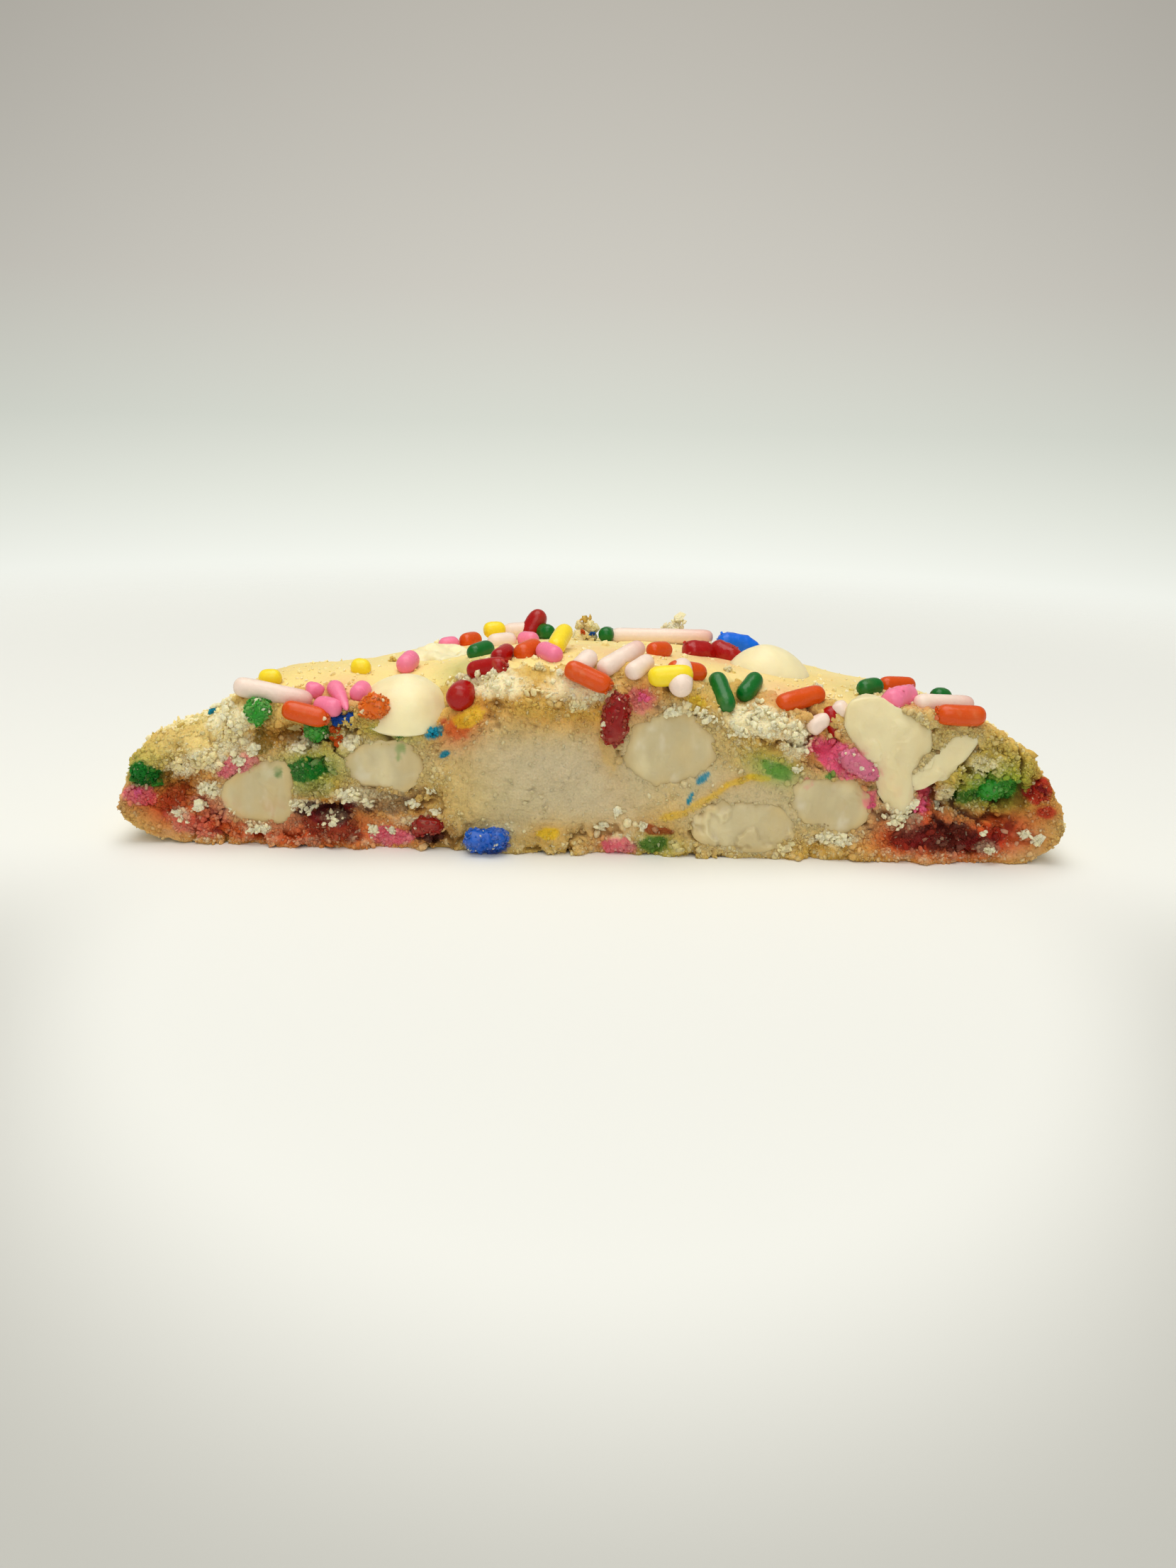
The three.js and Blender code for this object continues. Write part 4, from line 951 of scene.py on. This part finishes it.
def jimmy_shape(row, seed, sizes):
    """One sprinkle on the top, sloped like the crust below it."""
    _, x, y, heading, length, pitch, lift, make = row
    along = np.array([math.cos(math.radians(heading)), math.sin(math.radians(heading))])
    ahead = top_height(x + along[0], y + along[1])
    behind = top_height(x - along[0], y - along[1])
    slope = math.atan2(float(ahead - behind), 2) - math.radians(pitch)
    width = sizes.jimmy_width * (0.93 + 0.14 * steady_number(seed + 40)) * STOUT.get(make, 1.0)
    rings = jimmy_rings(length, width, make, seed)
    lift = sizes.jimmy_lift if lift is None else lift
    return placed(rings, heading, slope, (x, y, float(top_height(x, y)) + lift))


def break_jimmy_shape(row, seed, sizes):
    """One sprinkle held in the broken face."""
    _, x, z, lean, length, out, make = row
    rings = jimmy_rings(length, sizes.jimmy_width * STOUT.get(make, 1.02), make, seed)
    y = float(break_depth(np.array(x), np.array(z))) - out
    return placed(rings, 0, math.radians(lean), (x, y, z))


def jimmy_dye(colour, make, colours):
    """A sprinkle's colour: where it has crumbled, the inside's, or a darker one of its own."""
    own = np.array(getattr(colours, colour)[:3])
    return np.array(TORN_TONES.get(colour, 0.7 * own)) if make in CRUMBLY else own


def sprinkle_grains(made, random, colours):
    """Grains of sugar on the crumbly sprinkles, and on the far end of the broken ones."""
    at, radii, tints = [], [], []
    for colour, make, rings in made:
        count = GRAINS.get(make, 0)
        first = 0 if make != "broken" else len(rings) - 4
        for _ in range(count):
            ring, spot = random.integers(first, len(rings)), random.integers(rings.shape[1])
            at.append(rings[ring, spot])
            radii.append(random.uniform(0.08, 0.24))
            dye = jimmy_dye(colour, make, colours) * random.uniform(0.7, 1.25)
            sugared = 0.7 * (random.uniform() < 0.05) + random.uniform(0, 0.24) ** 1.5
            tints.append(mixed(dye, colours.frost[:3], np.array(sugared)))
    return np.array(at), np.array(radii), np.clip(np.array(tints), 0, 1)


def jimmy_tints(rings, colour, make, seed, colours):
    """The glaze's colour: a little uneven, and rosy towards the far end of a blushing one."""
    tint = painted_all(jimmy_dye(colour, make, colours), rings)
    pale = 0.05 * eased(0.0, 0.8, layered_noise(rings, 1.3, seed + 11))
    tint = mixed(tint, DYES["cream"], pale)
    if make == "blush":
        share = np.linspace(0, 1, rings.shape[0])[:, None] + 0 * rings[..., 0]
        tint = mixed(tint, DYES["rose"], 0.55 * eased(0.45, 1.0, share))
    if make in (*CRUMBLY, "broken"):
        tint = mixed(tint, DYES["cream"], 0.07 * eased(0.25, 0.6, layered_noise(rings, 0.5, seed + 17)))
    return tint


# ---- loose crumbs ----


def icosahedron():
    """Twelve corners and twenty faces of a regular icosahedron of radius 1."""
    g = (1 + math.sqrt(5)) / 2
    corners = np.array([(-1, g, 0), (1, g, 0), (-1, -g, 0), (1, -g, 0), (0, -1, g), (0, 1, g),
                        (0, -1, -g), (0, 1, -g), (g, 0, -1), (g, 0, 1), (-g, 0, -1), (-g, 0, 1)])
    faces = np.array([(0, 11, 5), (0, 5, 1), (0, 1, 7), (0, 7, 10), (0, 10, 11), (1, 5, 9),
                      (5, 11, 4), (11, 10, 2), (10, 7, 6), (7, 1, 8), (3, 9, 4), (3, 4, 2),
                      (3, 2, 6), (3, 6, 8), (3, 8, 9), (4, 9, 5), (2, 4, 11), (6, 2, 10),
                      (8, 6, 7), (9, 8, 1)])
    return corners / np.linalg.norm(corners[0]), faces


def angular_lumps(at, radii, tints, random):
    """Dented, stretched and turned icosahedra of the given radii at the given places."""
    count = len(at)
    corners, faces = icosahedron()
    stretch = random.uniform(0.45, 1.5, (count, 1, 3))
    dents = random.uniform(0.6, 1.3, (count, 12, 1))
    turns = np.linalg.qr(random.normal(size=(count, 3, 3)))[0]
    shape = (corners[None] * dents * stretch) @ turns * radii[:, None, None] + at[:, None, :]
    shape[..., 2] = np.maximum(shape[..., 2], 0.0)
    all_faces = faces[None] + (np.arange(count) * 12)[:, None, None]
    flipped = np.linalg.det(turns) < 0
    all_faces[flipped] = all_faces[flipped][:, :, ::-1]
    return ((shape.reshape(-1, 3), np.zeros((0, 4), dtype=int), all_faces.reshape(-1, 3)),
            np.repeat(tints, 12, axis=0))


def loose_crumbs(surface, count, random, colours):
    """Uneven grains packed on the crumb, frosty ones among them, thickest on its rough parts."""
    points, normals, tints, frosty, chance = surface
    picked = random.choice(chance.size, size=count, p=chance.ravel() / chance.sum())
    thick = frosty.ravel()[picked]
    radii = np.clip(random.lognormal(math.log(0.115), 0.5, count) * (0.85 + 0.3 * thick), 0.06, 0.42)
    sunk = random.uniform(-0.45, 0.3, count)
    at = points.reshape(-1, 3)[picked] + normals.reshape(-1, 3)[picked] * (sunk * radii)[:, None]
    pale = np.clip(1.25 * thick - 0.16 + random.normal(0, 0.17, count), 0, 0.95)
    colour = mixed(tints.reshape(-1, 3)[picked], colours.frost[:3], pale)
    colour = colour * random.uniform(0.94, 1.04, count)[:, None]
    return at, radii, np.clip(colour, 0, 1)


def crumb_flakes(surface, random, colours):
    """The listed flakes: each a cluster of angular lumps round its place on the break."""
    points, normals, _, _, chance = surface
    front = chance.ravel() > 0.02
    spots, ways = points.reshape(-1, 3)[front], normals.reshape(-1, 3)[front]
    at, radii, tints = [], [], []
    for colour, x, z, size in FLAKES:
        shade = crumb_shade(colour, colours)
        count = int(10 + 16 * size)
        spread = random.normal(size=(count, 2)) * np.array([0.42, 0.30]) * size
        for across, up in spread:
            nearest = np.argmin((spots[:, 0] - x - across) ** 2 + (spots[:, 2] - z - up) ** 2)
            lift = random.uniform(0.0, 0.35) * size
            at.append(spots[nearest] + ways[nearest] * lift)
            radii.append(random.uniform(0.14, 0.34) * (0.6 + 0.5 * size))
            tints.append(shade * random.uniform(0.82, 1.0))
    for colour, x, y, size, height in TOP_CRUMBS:
        shade = crumb_shade(colour, colours)
        spread = random.normal(size=(14, 3)) * np.array([0.42, 0.3, 0.30]) * size
        foot = np.array([x, y, float(top_height(x, y)) + height])
        at += list(foot + spread)
        radii += list(random.uniform(0.26, 0.55, 14) * size)
        tints += list(shade * random.uniform(0.86, 1.0, (14, 1)))
    return np.array(at), np.array(radii), np.clip(np.array(tints), 0, 1)


def crust_crumbs(points, normals, count, random, colours):
    """Fine crumbs strewn over the crust, thickest by the break."""
    spots, ways = points.reshape(-1, 3), normals.reshape(-1, 3)
    near = np.exp(-np.maximum(spots[:, 1] - 2, 0) / 2.6) + 0.02
    chance = near * (ways[:, 2] > 0.1) * (spots[:, 2] > SIDE_HEIGHT)
    picked = random.choice(len(spots), size=count, p=chance / chance.sum())
    radii = np.clip(random.lognormal(math.log(0.13), 0.45, count), 0.06, 0.40)
    at = spots[picked] + ways[picked] * (0.2 * radii)[:, None]
    shade = painted_all(colours.crust, at)
    return at, radii, mixed(shade, colours.frost[:3], random.uniform(0.1, 0.9, count))


# ---- finishes ----


class Value:
    """A socket that adds Math nodes when it is used in a sum."""

    def __init__(self, tree, socket):
        self.tree, self.socket = tree, socket

    def math(self, operation, first, second):
        node = self.tree.nodes.new("ShaderNodeMath")
        node.operation = operation
        for slot, item in zip(node.inputs, (first, second)):
            if isinstance(item, Value):
                self.tree.links.new(item.socket, slot)
            else:
                slot.default_value = item
        return Value(self.tree, node.outputs[0])

    def __add__(self, other):
        return self.math("ADD", self, other)

    def __rsub__(self, other):
        return self.math("SUBTRACT", other, self)

    def __mul__(self, other):
        return self.math("MULTIPLY", self, other)

    __radd__ = __add__
    __rmul__ = __mul__


class Finish:
    """The nodes of one material or world, and a method that adds any node with its inputs."""

    def __init__(self, name, constants, owner=None):
        self.owner = owner or bpy.data.materials.new(name)
        self.owner.use_nodes = True
        self.tree = self.owner.node_tree
        self.shader = self.tree.nodes.get("Principled BSDF")
        for socket, number in constants.items():
            self.shader.inputs[socket].default_value = number

    def node(self, kind, settings=None, inputs=None, output=0):
        node = self.tree.nodes.new(kind)
        for key, setting in (settings or {}).items():
            setattr(node, key, setting)
        for key, item in (inputs or {}).items():
            self.feed(node.inputs[key], item)
        return Value(self.tree, node.outputs[output])

    def feed(self, socket, item):
        if isinstance(item, Value):
            self.tree.links.new(item.socket, socket)
        else:
            socket.default_value = item

    def noise(self, size_mm, detail=2.0):
        """Noise from 0 to 1 on the piece's own coordinates, with features of about this size."""
        place = self.node("ShaderNodeTexCoord", output="Object")
        return self.node("ShaderNodeTexNoise", {"noise_dimensions": "3D"},
                         {"Vector": place, "Scale": 1 / (size_mm * MM), "Detail": detail}, "Fac")

    def cells(self, size_mm):
        """Distance to the nearest of scattered points, from 0 to about 1."""
        place = self.node("ShaderNodeTexCoord", output="Object")
        return self.node("ShaderNodeTexVoronoi", {"feature": "F1"},
                         {"Vector": place, "Scale": 1 / (size_mm * MM)}, "Distance")

    def ramp(self, value, span, levels=(0.0, 1.0)):
        """An eased ramp between two levels while a value crosses a span."""
        return self.node("ShaderNodeMapRange", {"interpolation_type": "SMOOTHSTEP"},
                         {"Value": value, "From Min": span[0], "From Max": span[1],
                          "To Min": levels[0], "To Max": levels[1]})

    def painted(self, shade):
        """The piece's own tint, made lighter or darker by a number."""
        tint = self.node("ShaderNodeAttribute", {"attribute_name": "tint"}, output="Color")
        lit = self.node("ShaderNodeVectorMath", {"operation": "SCALE"},
                        {"Vector": tint, "Scale": shade})
        self.feed(self.shader.inputs["Base Color"], lit)

    def bumped(self, height, distance_mm, strength=1.0):
        bump = self.node("ShaderNodeBump", {}, {"Height": height, "Distance": distance_mm * MM,
                                                "Strength": strength}, "Normal")
        self.feed(self.shader.inputs["Normal"], bump)


def crumb_finish(name="cookie_crumb"):
    """Broken crumb: matt translucent grains with a few glinting sugar crystals."""
    finish = Finish(name, {"Subsurface Weight": 0.35, "Subsurface Scale": 0.8 * MM,
                           "Subsurface Radius": (1.0, 0.62, 0.32), "IOR": 1.42,
                           "Specular IOR Level": 0.35})
    grain, clumps, crystals = finish.noise(0.18, 3.0), finish.cells(0.3), finish.cells(0.21)
    finish.painted(0.78 + 0.42 * grain)
    finish.feed(finish.shader.inputs["Roughness"], 0.45 + 0.5 * crystals)
    finish.bumped(grain + 0.7 * (1 - clumps), 0.12, 0.9)
    return finish.owner


def crust_finish():
    """Baked crust: satin, with a fine dry grain and faint mottling."""
    finish = Finish("cookie_crust", {"Subsurface Weight": 0.2, "Subsurface Scale": 0.8 * MM,
                                     "Subsurface Radius": (1.0, 0.6, 0.3), "IOR": 1.42})
    grain, mottle, pores = finish.noise(0.25, 3.0), finish.noise(1.7, 2.0), finish.cells(0.5)
    finish.painted(0.86 + 0.14 * grain + 0.14 * mottle)
    finish.feed(finish.shader.inputs["Roughness"], 0.42 + 0.28 * grain)
    finish.bumped(0.8 * grain + 0.5 * mottle + 0.4 * pores, 0.09, 0.6)
    return finish.owner


def chip_finish():
    """White chocolate: waxy, ivory and slightly translucent, with a faint smeared grain."""
    finish = Finish("white_chocolate", {"Subsurface Weight": 0.45, "Subsurface Scale": 1.4 * MM,
                                        "Subsurface Radius": (1.0, 0.8, 0.5), "IOR": 1.45})
    smear, grain = finish.noise(1.6, 2.0), finish.noise(0.22, 2.0)
    finish.painted(0.90 + 0.16 * smear)
    finish.feed(finish.shader.inputs["Roughness"], 0.26 + 0.3 * smear)
    finish.bumped(smear + 0.45 * grain, 0.10, 0.6)
    return finish.owner


def glaze_finish():
    """Sprinkles: coloured sugar with a soft gloss and fine streaks."""
    finish = Finish("sugar_sprinkle", {"Subsurface Weight": 0.12, "Subsurface Scale": 0.5 * MM,
                                       "Subsurface Radius": (1.0, 0.7, 0.5), "IOR": 1.45,
                                       "Specular IOR Level": 0.4})
    streak, speck = finish.noise(0.5, 2.0), finish.noise(0.12, 2.0)
    finish.painted(0.90 + 0.14 * streak)
    finish.feed(finish.shader.inputs["Roughness"], 0.14 + 0.22 * streak)
    finish.bumped(streak + 0.35 * speck, 0.05, 0.55)
    return finish.owner


# The middle of the floor's painted pool of light and how much more its width counts than its depth; then,
# in metres, from where to where painted shade darkens it away from there and forwards, and where it fades
# away.
FLOOR_BRIGHTEST = (0.0, -0.0385, 0.0)
FLOOR_SHAPE = (1.22, 1.0, 0.0)
FLOOR_DIMMED = (0.040, 0.064)
FLOOR_AHEAD = (-0.02, -0.066)
FLOOR_FADED = (0.07, 0.24)


def floor_finish(colours):
    """Pale floor with a painted pool of light round the cookie and painted shade away from it, that melts
    into the surroundings far behind it.
    """
    finish = Finish("floor", {"Roughness": 0.8, "Specular IOR Level": 0.15})
    place = finish.node("ShaderNodeTexCoord", output="Object")
    level = finish.node("ShaderNodeVectorMath", {"operation": "MULTIPLY"}, {0: place, 1: FLOOR_SHAPE})
    near = finish.node("ShaderNodeVectorMath", {"operation": "DISTANCE"},
                       {0: level, 1: FLOOR_BRIGHTEST}, "Value")
    behind = finish.node("ShaderNodeSeparateXYZ", {}, {"Vector": place}, "Y")
    # Share of painted shade: little in the pool of light round the cookie, more away from it towards the
    # front.
    darker = finish.ramp(near, FLOOR_DIMMED, (0.12, 1.0)) * finish.ramp(behind, FLOOR_AHEAD)
    colour = finish.node("ShaderNodeMix", {"data_type": "RGBA"},
                         {0: darker, 6: colours.floor, 7: colours.shaded_far_floor}, 2)
    finish.feed(finish.shader.inputs["Base Color"], colour)
    far = finish.node("ShaderNodeVectorMath", {"operation": "LENGTH"}, {"Vector": place}, "Value")
    finish.feed(finish.shader.inputs["Alpha"], finish.ramp(far, FLOOR_FADED, (1.0, 0.0)))
    return finish.owner


# ---- what a user can change ----


class CookieSizes(bpy.types.PropertyGroup):
    """Sizes of the cookie's detail, in millimetres unless a name says otherwise."""

    break_stations: bpy.props.IntProperty(
        name="Break stations", description="Columns of the broken face", default=600, min=80, max=640)
    break_rows: bpy.props.IntProperty(
        name="Break rows", description="Rows up the broken face", default=104, min=20, max=120)
    crust_stations: bpy.props.IntProperty(
        name="Crust stations", description="Columns of the crust", default=380, min=60, max=480)
    crust_rows: bpy.props.IntProperty(
        name="Crust rows", description="Rows from the break to the back", default=150, min=20, max=180)
    crumb_relief: bpy.props.FloatProperty(
        name="Crumb relief", description="Strength of the crumb's lumps and pits", default=1.0,
        min=0.0, max=2.0)
    crust_relief: bpy.props.FloatProperty(
        name="Crust relief", description="Strength of the crust's swells and cracks", default=1.0,
        min=0.0, max=2.0)
    jimmy_width: bpy.props.FloatProperty(
        name="Sprinkle width", description="Thickness of a sprinkle in mm", default=1.9, min=1.0,
        max=3.0)
    jimmy_lift: bpy.props.FloatProperty(
        name="Sprinkle lift", description="Height of its middle over the crust in mm", default=0.45,
        min=0.0, max=1.0)
    crumbs: bpy.props.IntProperty(
        name="Packed crumbs", description="Number of grains packed on the break", default=28000,
        min=0, max=29500)
    crust_crumbs: bpy.props.IntProperty(
        name="Strewn crumbs", description="Number of fine crumbs on the crust", default=2600,
        min=0, max=9000)


def colour_property(name, words, shade):
    """A colour that a user can change, with its default as a linear colour."""
    return bpy.props.FloatVectorProperty(
        name=name, description=words, subtype="COLOR", size=4, min=0, max=1, default=(*shade, 1.0))


class CookieColours(bpy.types.PropertyGroup):
    """Colours of the cookie and of the floor."""

    crust: colour_property("Crust", "Pale baked top", tone(248, 224, 146))
    browned: colour_property("Browned", "Side and base of the crust", tone(214, 164, 80))
    crumb: colour_property("Crumb", "Inside of the cookie", tone(220, 186, 108))
    raw: colour_property("Soft middle", "Hardly baked middle", tone(206, 190, 154))
    frost: colour_property("Frosted crumb", "Proud grains of the crumb", tone(255, 243, 200))
    # Painted shade laid into the crumb's clefts and recesses.
    cleft_shade: colour_property("Moist crumb", "Deep parts of the crumb", tone(112, 72, 26))
    chip: colour_property("Chip", "White chocolate", tone(248, 235, 188))
    # Painted shade: the chip colour darkened for the chips that lie in the shade of the break.
    shaded_cut_chip: colour_property("Broken chip", "White chocolate in the break", tone(204, 190, 148))
    red: colour_property("Red", "Red sprinkles", tone(170, 8, 6))
    orange: colour_property("Orange", "Orange sprinkles", tone(220, 80, 1))
    yellow: colour_property("Yellow", "Yellow sprinkles", tone(255, 226, 40))
    green: colour_property("Green", "Green sprinkles", tone(6, 106, 32))
    blue: colour_property("Blue", "Blue sprinkles", tone(2, 108, 232))
    pink: colour_property("Pink", "Pink sprinkles", tone(248, 130, 164))
    white: colour_property("White", "White sprinkles", tone(246, 224, 208))
    floor: colour_property("Floor", "Floor near the cookie", tone(243, 244, 239))
    # Painted shade: the floor's colour well in front of the cookie, darkened.
    shaded_far_floor: colour_property("Far floor", "Floor well in front of the cookie", tone(184, 184, 178))


# ---- operators ----


class COOKIE_OT_crust(bpy.types.Operator):
    """Make the baked crust: the top, the side and the base"""

    bl_idname = "cookie.crust"
    bl_label = "Crust"

    def execute(self, context):
        sizes, colours = context.scene.cookie_sizes, context.scene.cookie_colours
        points, normals, tints = crust_surface(sizes, colours)
        finish = crust_finish()
        make_piece("cookie_crust", loft(points), finish, ["cookie"], loft_tints(tints))
        random = np.random.default_rng(9)
        strewn = crust_crumbs(points, normals, sizes.crust_crumbs, random, colours)
        shape, shades = angular_lumps(*strewn, random)
        make_piece("crust_crumbs", shape, finish, tints=shades, smooth=False)
        return {"FINISHED"}


class COOKIE_OT_crumb(bpy.types.Operator):
    """Make the broken face with its crumb, and the loose crumbs on it"""

    bl_idname = "cookie.crumb"
    bl_label = "Crumb"

    def execute(self, context):
        sizes, colours = context.scene.cookie_sizes, context.scene.cookie_colours
        surface = crumb_surface(sizes, colours)
        finish = crumb_finish()
        make_piece("cookie_crumb", loft(surface[0]), finish, ["cookie"],
                   loft_tints(surface[2]))
        random = np.random.default_rng(7)
        at, radii, tints = loose_crumbs(surface, sizes.crumbs, random, colours)
        thirds = np.digitize(at[:, 0], np.quantile(at[:, 0], (1 / 3, 2 / 3)))
        for third, name in enumerate(("crumbs_left", "crumbs_middle", "crumbs_right")):
            those = thirds == third
            shape, shades = angular_lumps(at[those], radii[those], tints[those], random)
            make_piece(name, shape, finish, tints=shades)
        shape, shades = angular_lumps(*crumb_flakes(surface, random, colours), random)
        make_piece("crumb_flakes", shape, finish, tints=shades, smooth=False)
        return {"FINISHED"}


class COOKIE_OT_chips(bpy.types.Operator):
    """Make the white chocolate chips, in the break and on the top"""

    bl_idname = "cookie.chips"
    bl_label = "Chips"

    def execute(self, context):
        colours = context.scene.cookie_colours
        finish = chip_finish()
        made = [(name, break_chip(chip, 200 + 20 * n))
                for n, (name, chip) in enumerate(BREAK_CHIPS.items())]
        made += [(name, drop_chip(chip, 400 + 20 * n, float(name == TORN_DROP)))
                 for n, (name, chip) in enumerate(DROP_CHIPS.items())]
        for seed, (name, shape) in enumerate(made):
            tints = chip_tints(shape[0], name, seed, colours)
            make_piece("white_" + name, shape, finish, [name], tints)
        return {"FINISHED"}


class COOKIE_OT_sprinkles(bpy.types.Operator):
    """Make the sprinkles, one piece for each colour"""

    bl_idname = "cookie.sprinkles"
    bl_label = "Sprinkles"

    def execute(self, context):
        sizes, colours = context.scene.cookie_sizes, context.scene.cookie_colours
        finish = glaze_finish()
        made = [(row[0], row[-1], jimmy_shape(row, seed, sizes))
                for seed, row in enumerate(TOP_JIMMIES + shoulder_jimmies())]
        made += [(row[0], row[-1], break_jimmy_shape(row, 300 + seed, sizes))
                 for seed, row in enumerate(BREAK_JIMMIES)]
        grains = sprinkle_grains(made, np.random.default_rng(11), colours)
        shape, shades = angular_lumps(*grains, np.random.default_rng(12))
        make_piece("sprinkle_grains", shape, crumb_finish("sprinkle_grain"),
                   tints=shades, smooth=False)
        for colour in JIMMY_COLOURS:
            lofts, tints = [], []
            for seed, (dye, make, rings) in enumerate(made):
                if dye != colour:
                    continue
                lofts.append(loft(rings))
                tints.append(loft_tints(jimmy_tints(rings, dye, make, seed, colours)))
            make_piece("sprinkles_" + colour, joined(lofts), finish, ["cookie"],
                       np.concatenate(tints))
        return {"FINISHED"}


# Height of a look into the surroundings, from -1 to 1, and their colour there.
SKY = [(-0.30, tone(238, 238, 230)), (-0.148, tone(244, 244, 235)),
       (-0.115, tone(241, 243, 235)), (-0.057, tone(226, 229, 219)), (0.0, tone(211, 214, 204)),
       (0.10, tone(201, 198, 189)), (0.29, tone(183, 179, 170)), (0.5, tone(165, 163, 158)),
       (1.0, tone(190, 190, 187))]
SKY_STRENGTH = 1.06

# Name, place in mm, size in mm, power in W and colour of each light.
LIGHTS = [("key", (-30, 0, 420), 340, 1.08, (1.0, 0.985, 0.95)),
          ("front_fill", (-20, -280, 240), 260, 0.36, (1.0, 0.98, 0.94))]
FLOOR_RADIUS_MM = 4000
CAMERA_AIM = np.array([-0.34, 0.0, 7.0])
CAMERA_DISTANCE = 111.5
CAMERA_PITCH = math.radians(17.0)
CAMERA_ROLL = math.radians(1.45)
LENS_MM = 27.05


def add_area_light(name, place_mm, size_mm, power, shade, aim_mm=(0, 15, 8)):
    """A square soft light at a place, turned towards a point of the cookie."""
    light = bpy.data.lights.new(name, "AREA")
    light.size = size_mm * MM
    light.energy = power
    light.color = shade
    lamp = bpy.data.objects.new(name, light)
    lamp.location = (np.array(place_mm) - HALF_CENTRE) * MM
    toward = Vector((np.array(aim_mm) - np.array(place_mm)).tolist())
    lamp.rotation_euler = toward.to_track_quat("-Z", "Y").to_euler()
    bpy.context.scene.collection.objects.link(lamp)


class COOKIE_OT_stage(bpy.types.Operator):
    """Make the floor, the lights, the sky and the camera"""

    bl_idname = "cookie.stage"
    bl_label = "Stage"

    def execute(self, context):
        scene = context.scene
        self.add_floor(scene)
        self.add_sky(scene)
        for light in LIGHTS:
            add_area_light(*light)
        self.add_camera(scene)
        scene.view_settings.view_transform = "Standard"
        return {"FINISHED"}

    def add_floor(self, scene):
        """A round floor: rings of growing radius round the origin."""
        radius = FLOOR_RADIUS_MM * MM * np.linspace(0.02, 1, 40)[:, None] ** 2
        around = np.linspace(0, 2 * np.pi, 96, endpoint=False)[None, :]
        rings = np.stack([radius * np.cos(around), radius * np.sin(around), 0 * radius * around],
                         axis=-1)
        points, quads, fans = loft(rings)
        inner_fan = fans[:around.size]
        mesh = bpy.data.meshes.new("floor")
        mesh.from_pydata(points[:-1].tolist(), [], quads.tolist() + inner_fan.tolist())
        mesh.update()
        mesh.materials.append(floor_finish(scene.cookie_colours))
        floor = bpy.data.objects.new("floor", mesh)
        scene.collection.objects.link(floor)

    def add_sky(self, scene):
        """Soft surroundings: pale at the horizon, greyer above it, and dimmer to both sides."""
        scene.world = bpy.data.worlds.new("sky")
        sky = Finish("sky", {}, scene.world)
        place = sky.node("ShaderNodeTexCoord", output="Generated")
        height = sky.node("ShaderNodeSeparateXYZ", {}, {"Vector": place}, "Z")
        low, high = SKY[0][0], SKY[-1][0]
        up = sky.node("ShaderNodeMapRange", {},
                      {"Value": height, "From Min": low, "From Max": high})
        shown = sky.node("ShaderNodeValToRGB", {}, {0: up})
        ramp = shown.socket.node.color_ramp
        while len(ramp.elements) < len(SKY):
            ramp.elements.new(0.5)
        for stop, (level, shade) in zip(ramp.elements, SKY):
            stop.position = (level - low) / (high - low)
            stop.color = (*shade, 1)
        across = sky.node("ShaderNodeSeparateXYZ", {}, {"Vector": place}, "X")
        aside = across.math("MINIMUM", across * across, 0.2)
        dimmed = 1 - aside * (0.6 + 2.4 * height.math("MINIMUM", height, 0.3))
        colour = sky.node("ShaderNodeVectorMath", {"operation": "SCALE"},
                          {0: shown, "Scale": dimmed})
        background = sky.tree.nodes["Background"].inputs
        sky.feed(background["Color"], colour)
        background["Strength"].default_value = SKY_STRENGTH

    def add_camera(self, scene):
        """The camera looks down on the break, and is turned a little about its own axis."""
        pitch, roll = CAMERA_PITCH, CAMERA_ROLL
        ahead = np.array([0, math.cos(pitch), -math.sin(pitch)])
        level_up = np.array([0, math.sin(pitch), math.cos(pitch)])
        level_right = np.array([1.0, 0, 0])
        right = level_right * math.cos(roll) + level_up * math.sin(roll)
        up = level_up * math.cos(roll) - level_right * math.sin(roll)
        camera = bpy.data.cameras.new("camera")
        camera.lens = LENS_MM
        camera.clip_start = 0.005
        eye = bpy.data.objects.new("camera", camera)
        place = (CAMERA_AIM - CAMERA_DISTANCE * ahead - HALF_CENTRE) * MM
        turn = Matrix(np.stack([right, up, -ahead], axis=1).tolist()).to_4x4()
        eye.matrix_world = Matrix.Translation(place) @ turn
        scene.collection.objects.link(eye)
        scene.camera = eye


class COOKIE_PT_panel(bpy.types.Panel):
    """Lists the steps that build the cookie"""

    bl_label = "Sprinkle Cookie Half"
    bl_idname = "COOKIE_PT_panel"
    bl_space_type = "VIEW_3D"
    bl_region_type = "UI"
    bl_category = "Cookie"

    def draw(self, context):
        for step in STEPS:
            self.layout.operator(step.bl_idname)
        for group in (context.scene.cookie_sizes, context.scene.cookie_colours):
            for name in group.__annotations__:
                self.layout.prop(group, name)


STEPS = (COOKIE_OT_stage, COOKIE_OT_crust, COOKIE_OT_crumb, COOKIE_OT_chips, COOKIE_OT_sprinkles)
CLASSES = (CookieSizes, CookieColours, *STEPS, COOKIE_PT_panel)


def register():
    for item in CLASSES:
        bpy.utils.register_class(item)
    bpy.types.Scene.cookie_sizes = bpy.props.PointerProperty(type=CookieSizes)
    bpy.types.Scene.cookie_colours = bpy.props.PointerProperty(type=CookieColours)


def unregister():
    del bpy.types.Scene.cookie_colours
    del bpy.types.Scene.cookie_sizes
    for item in reversed(CLASSES):
        bpy.utils.unregister_class(item)


def main():
    """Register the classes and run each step."""
    register()
    bpy.ops.cookie.stage()
    bpy.ops.cookie.crust()
    bpy.ops.cookie.crumb()
    bpy.ops.cookie.chips()
    bpy.ops.cookie.sprinkles()


if __name__ == "__main__":
    main()
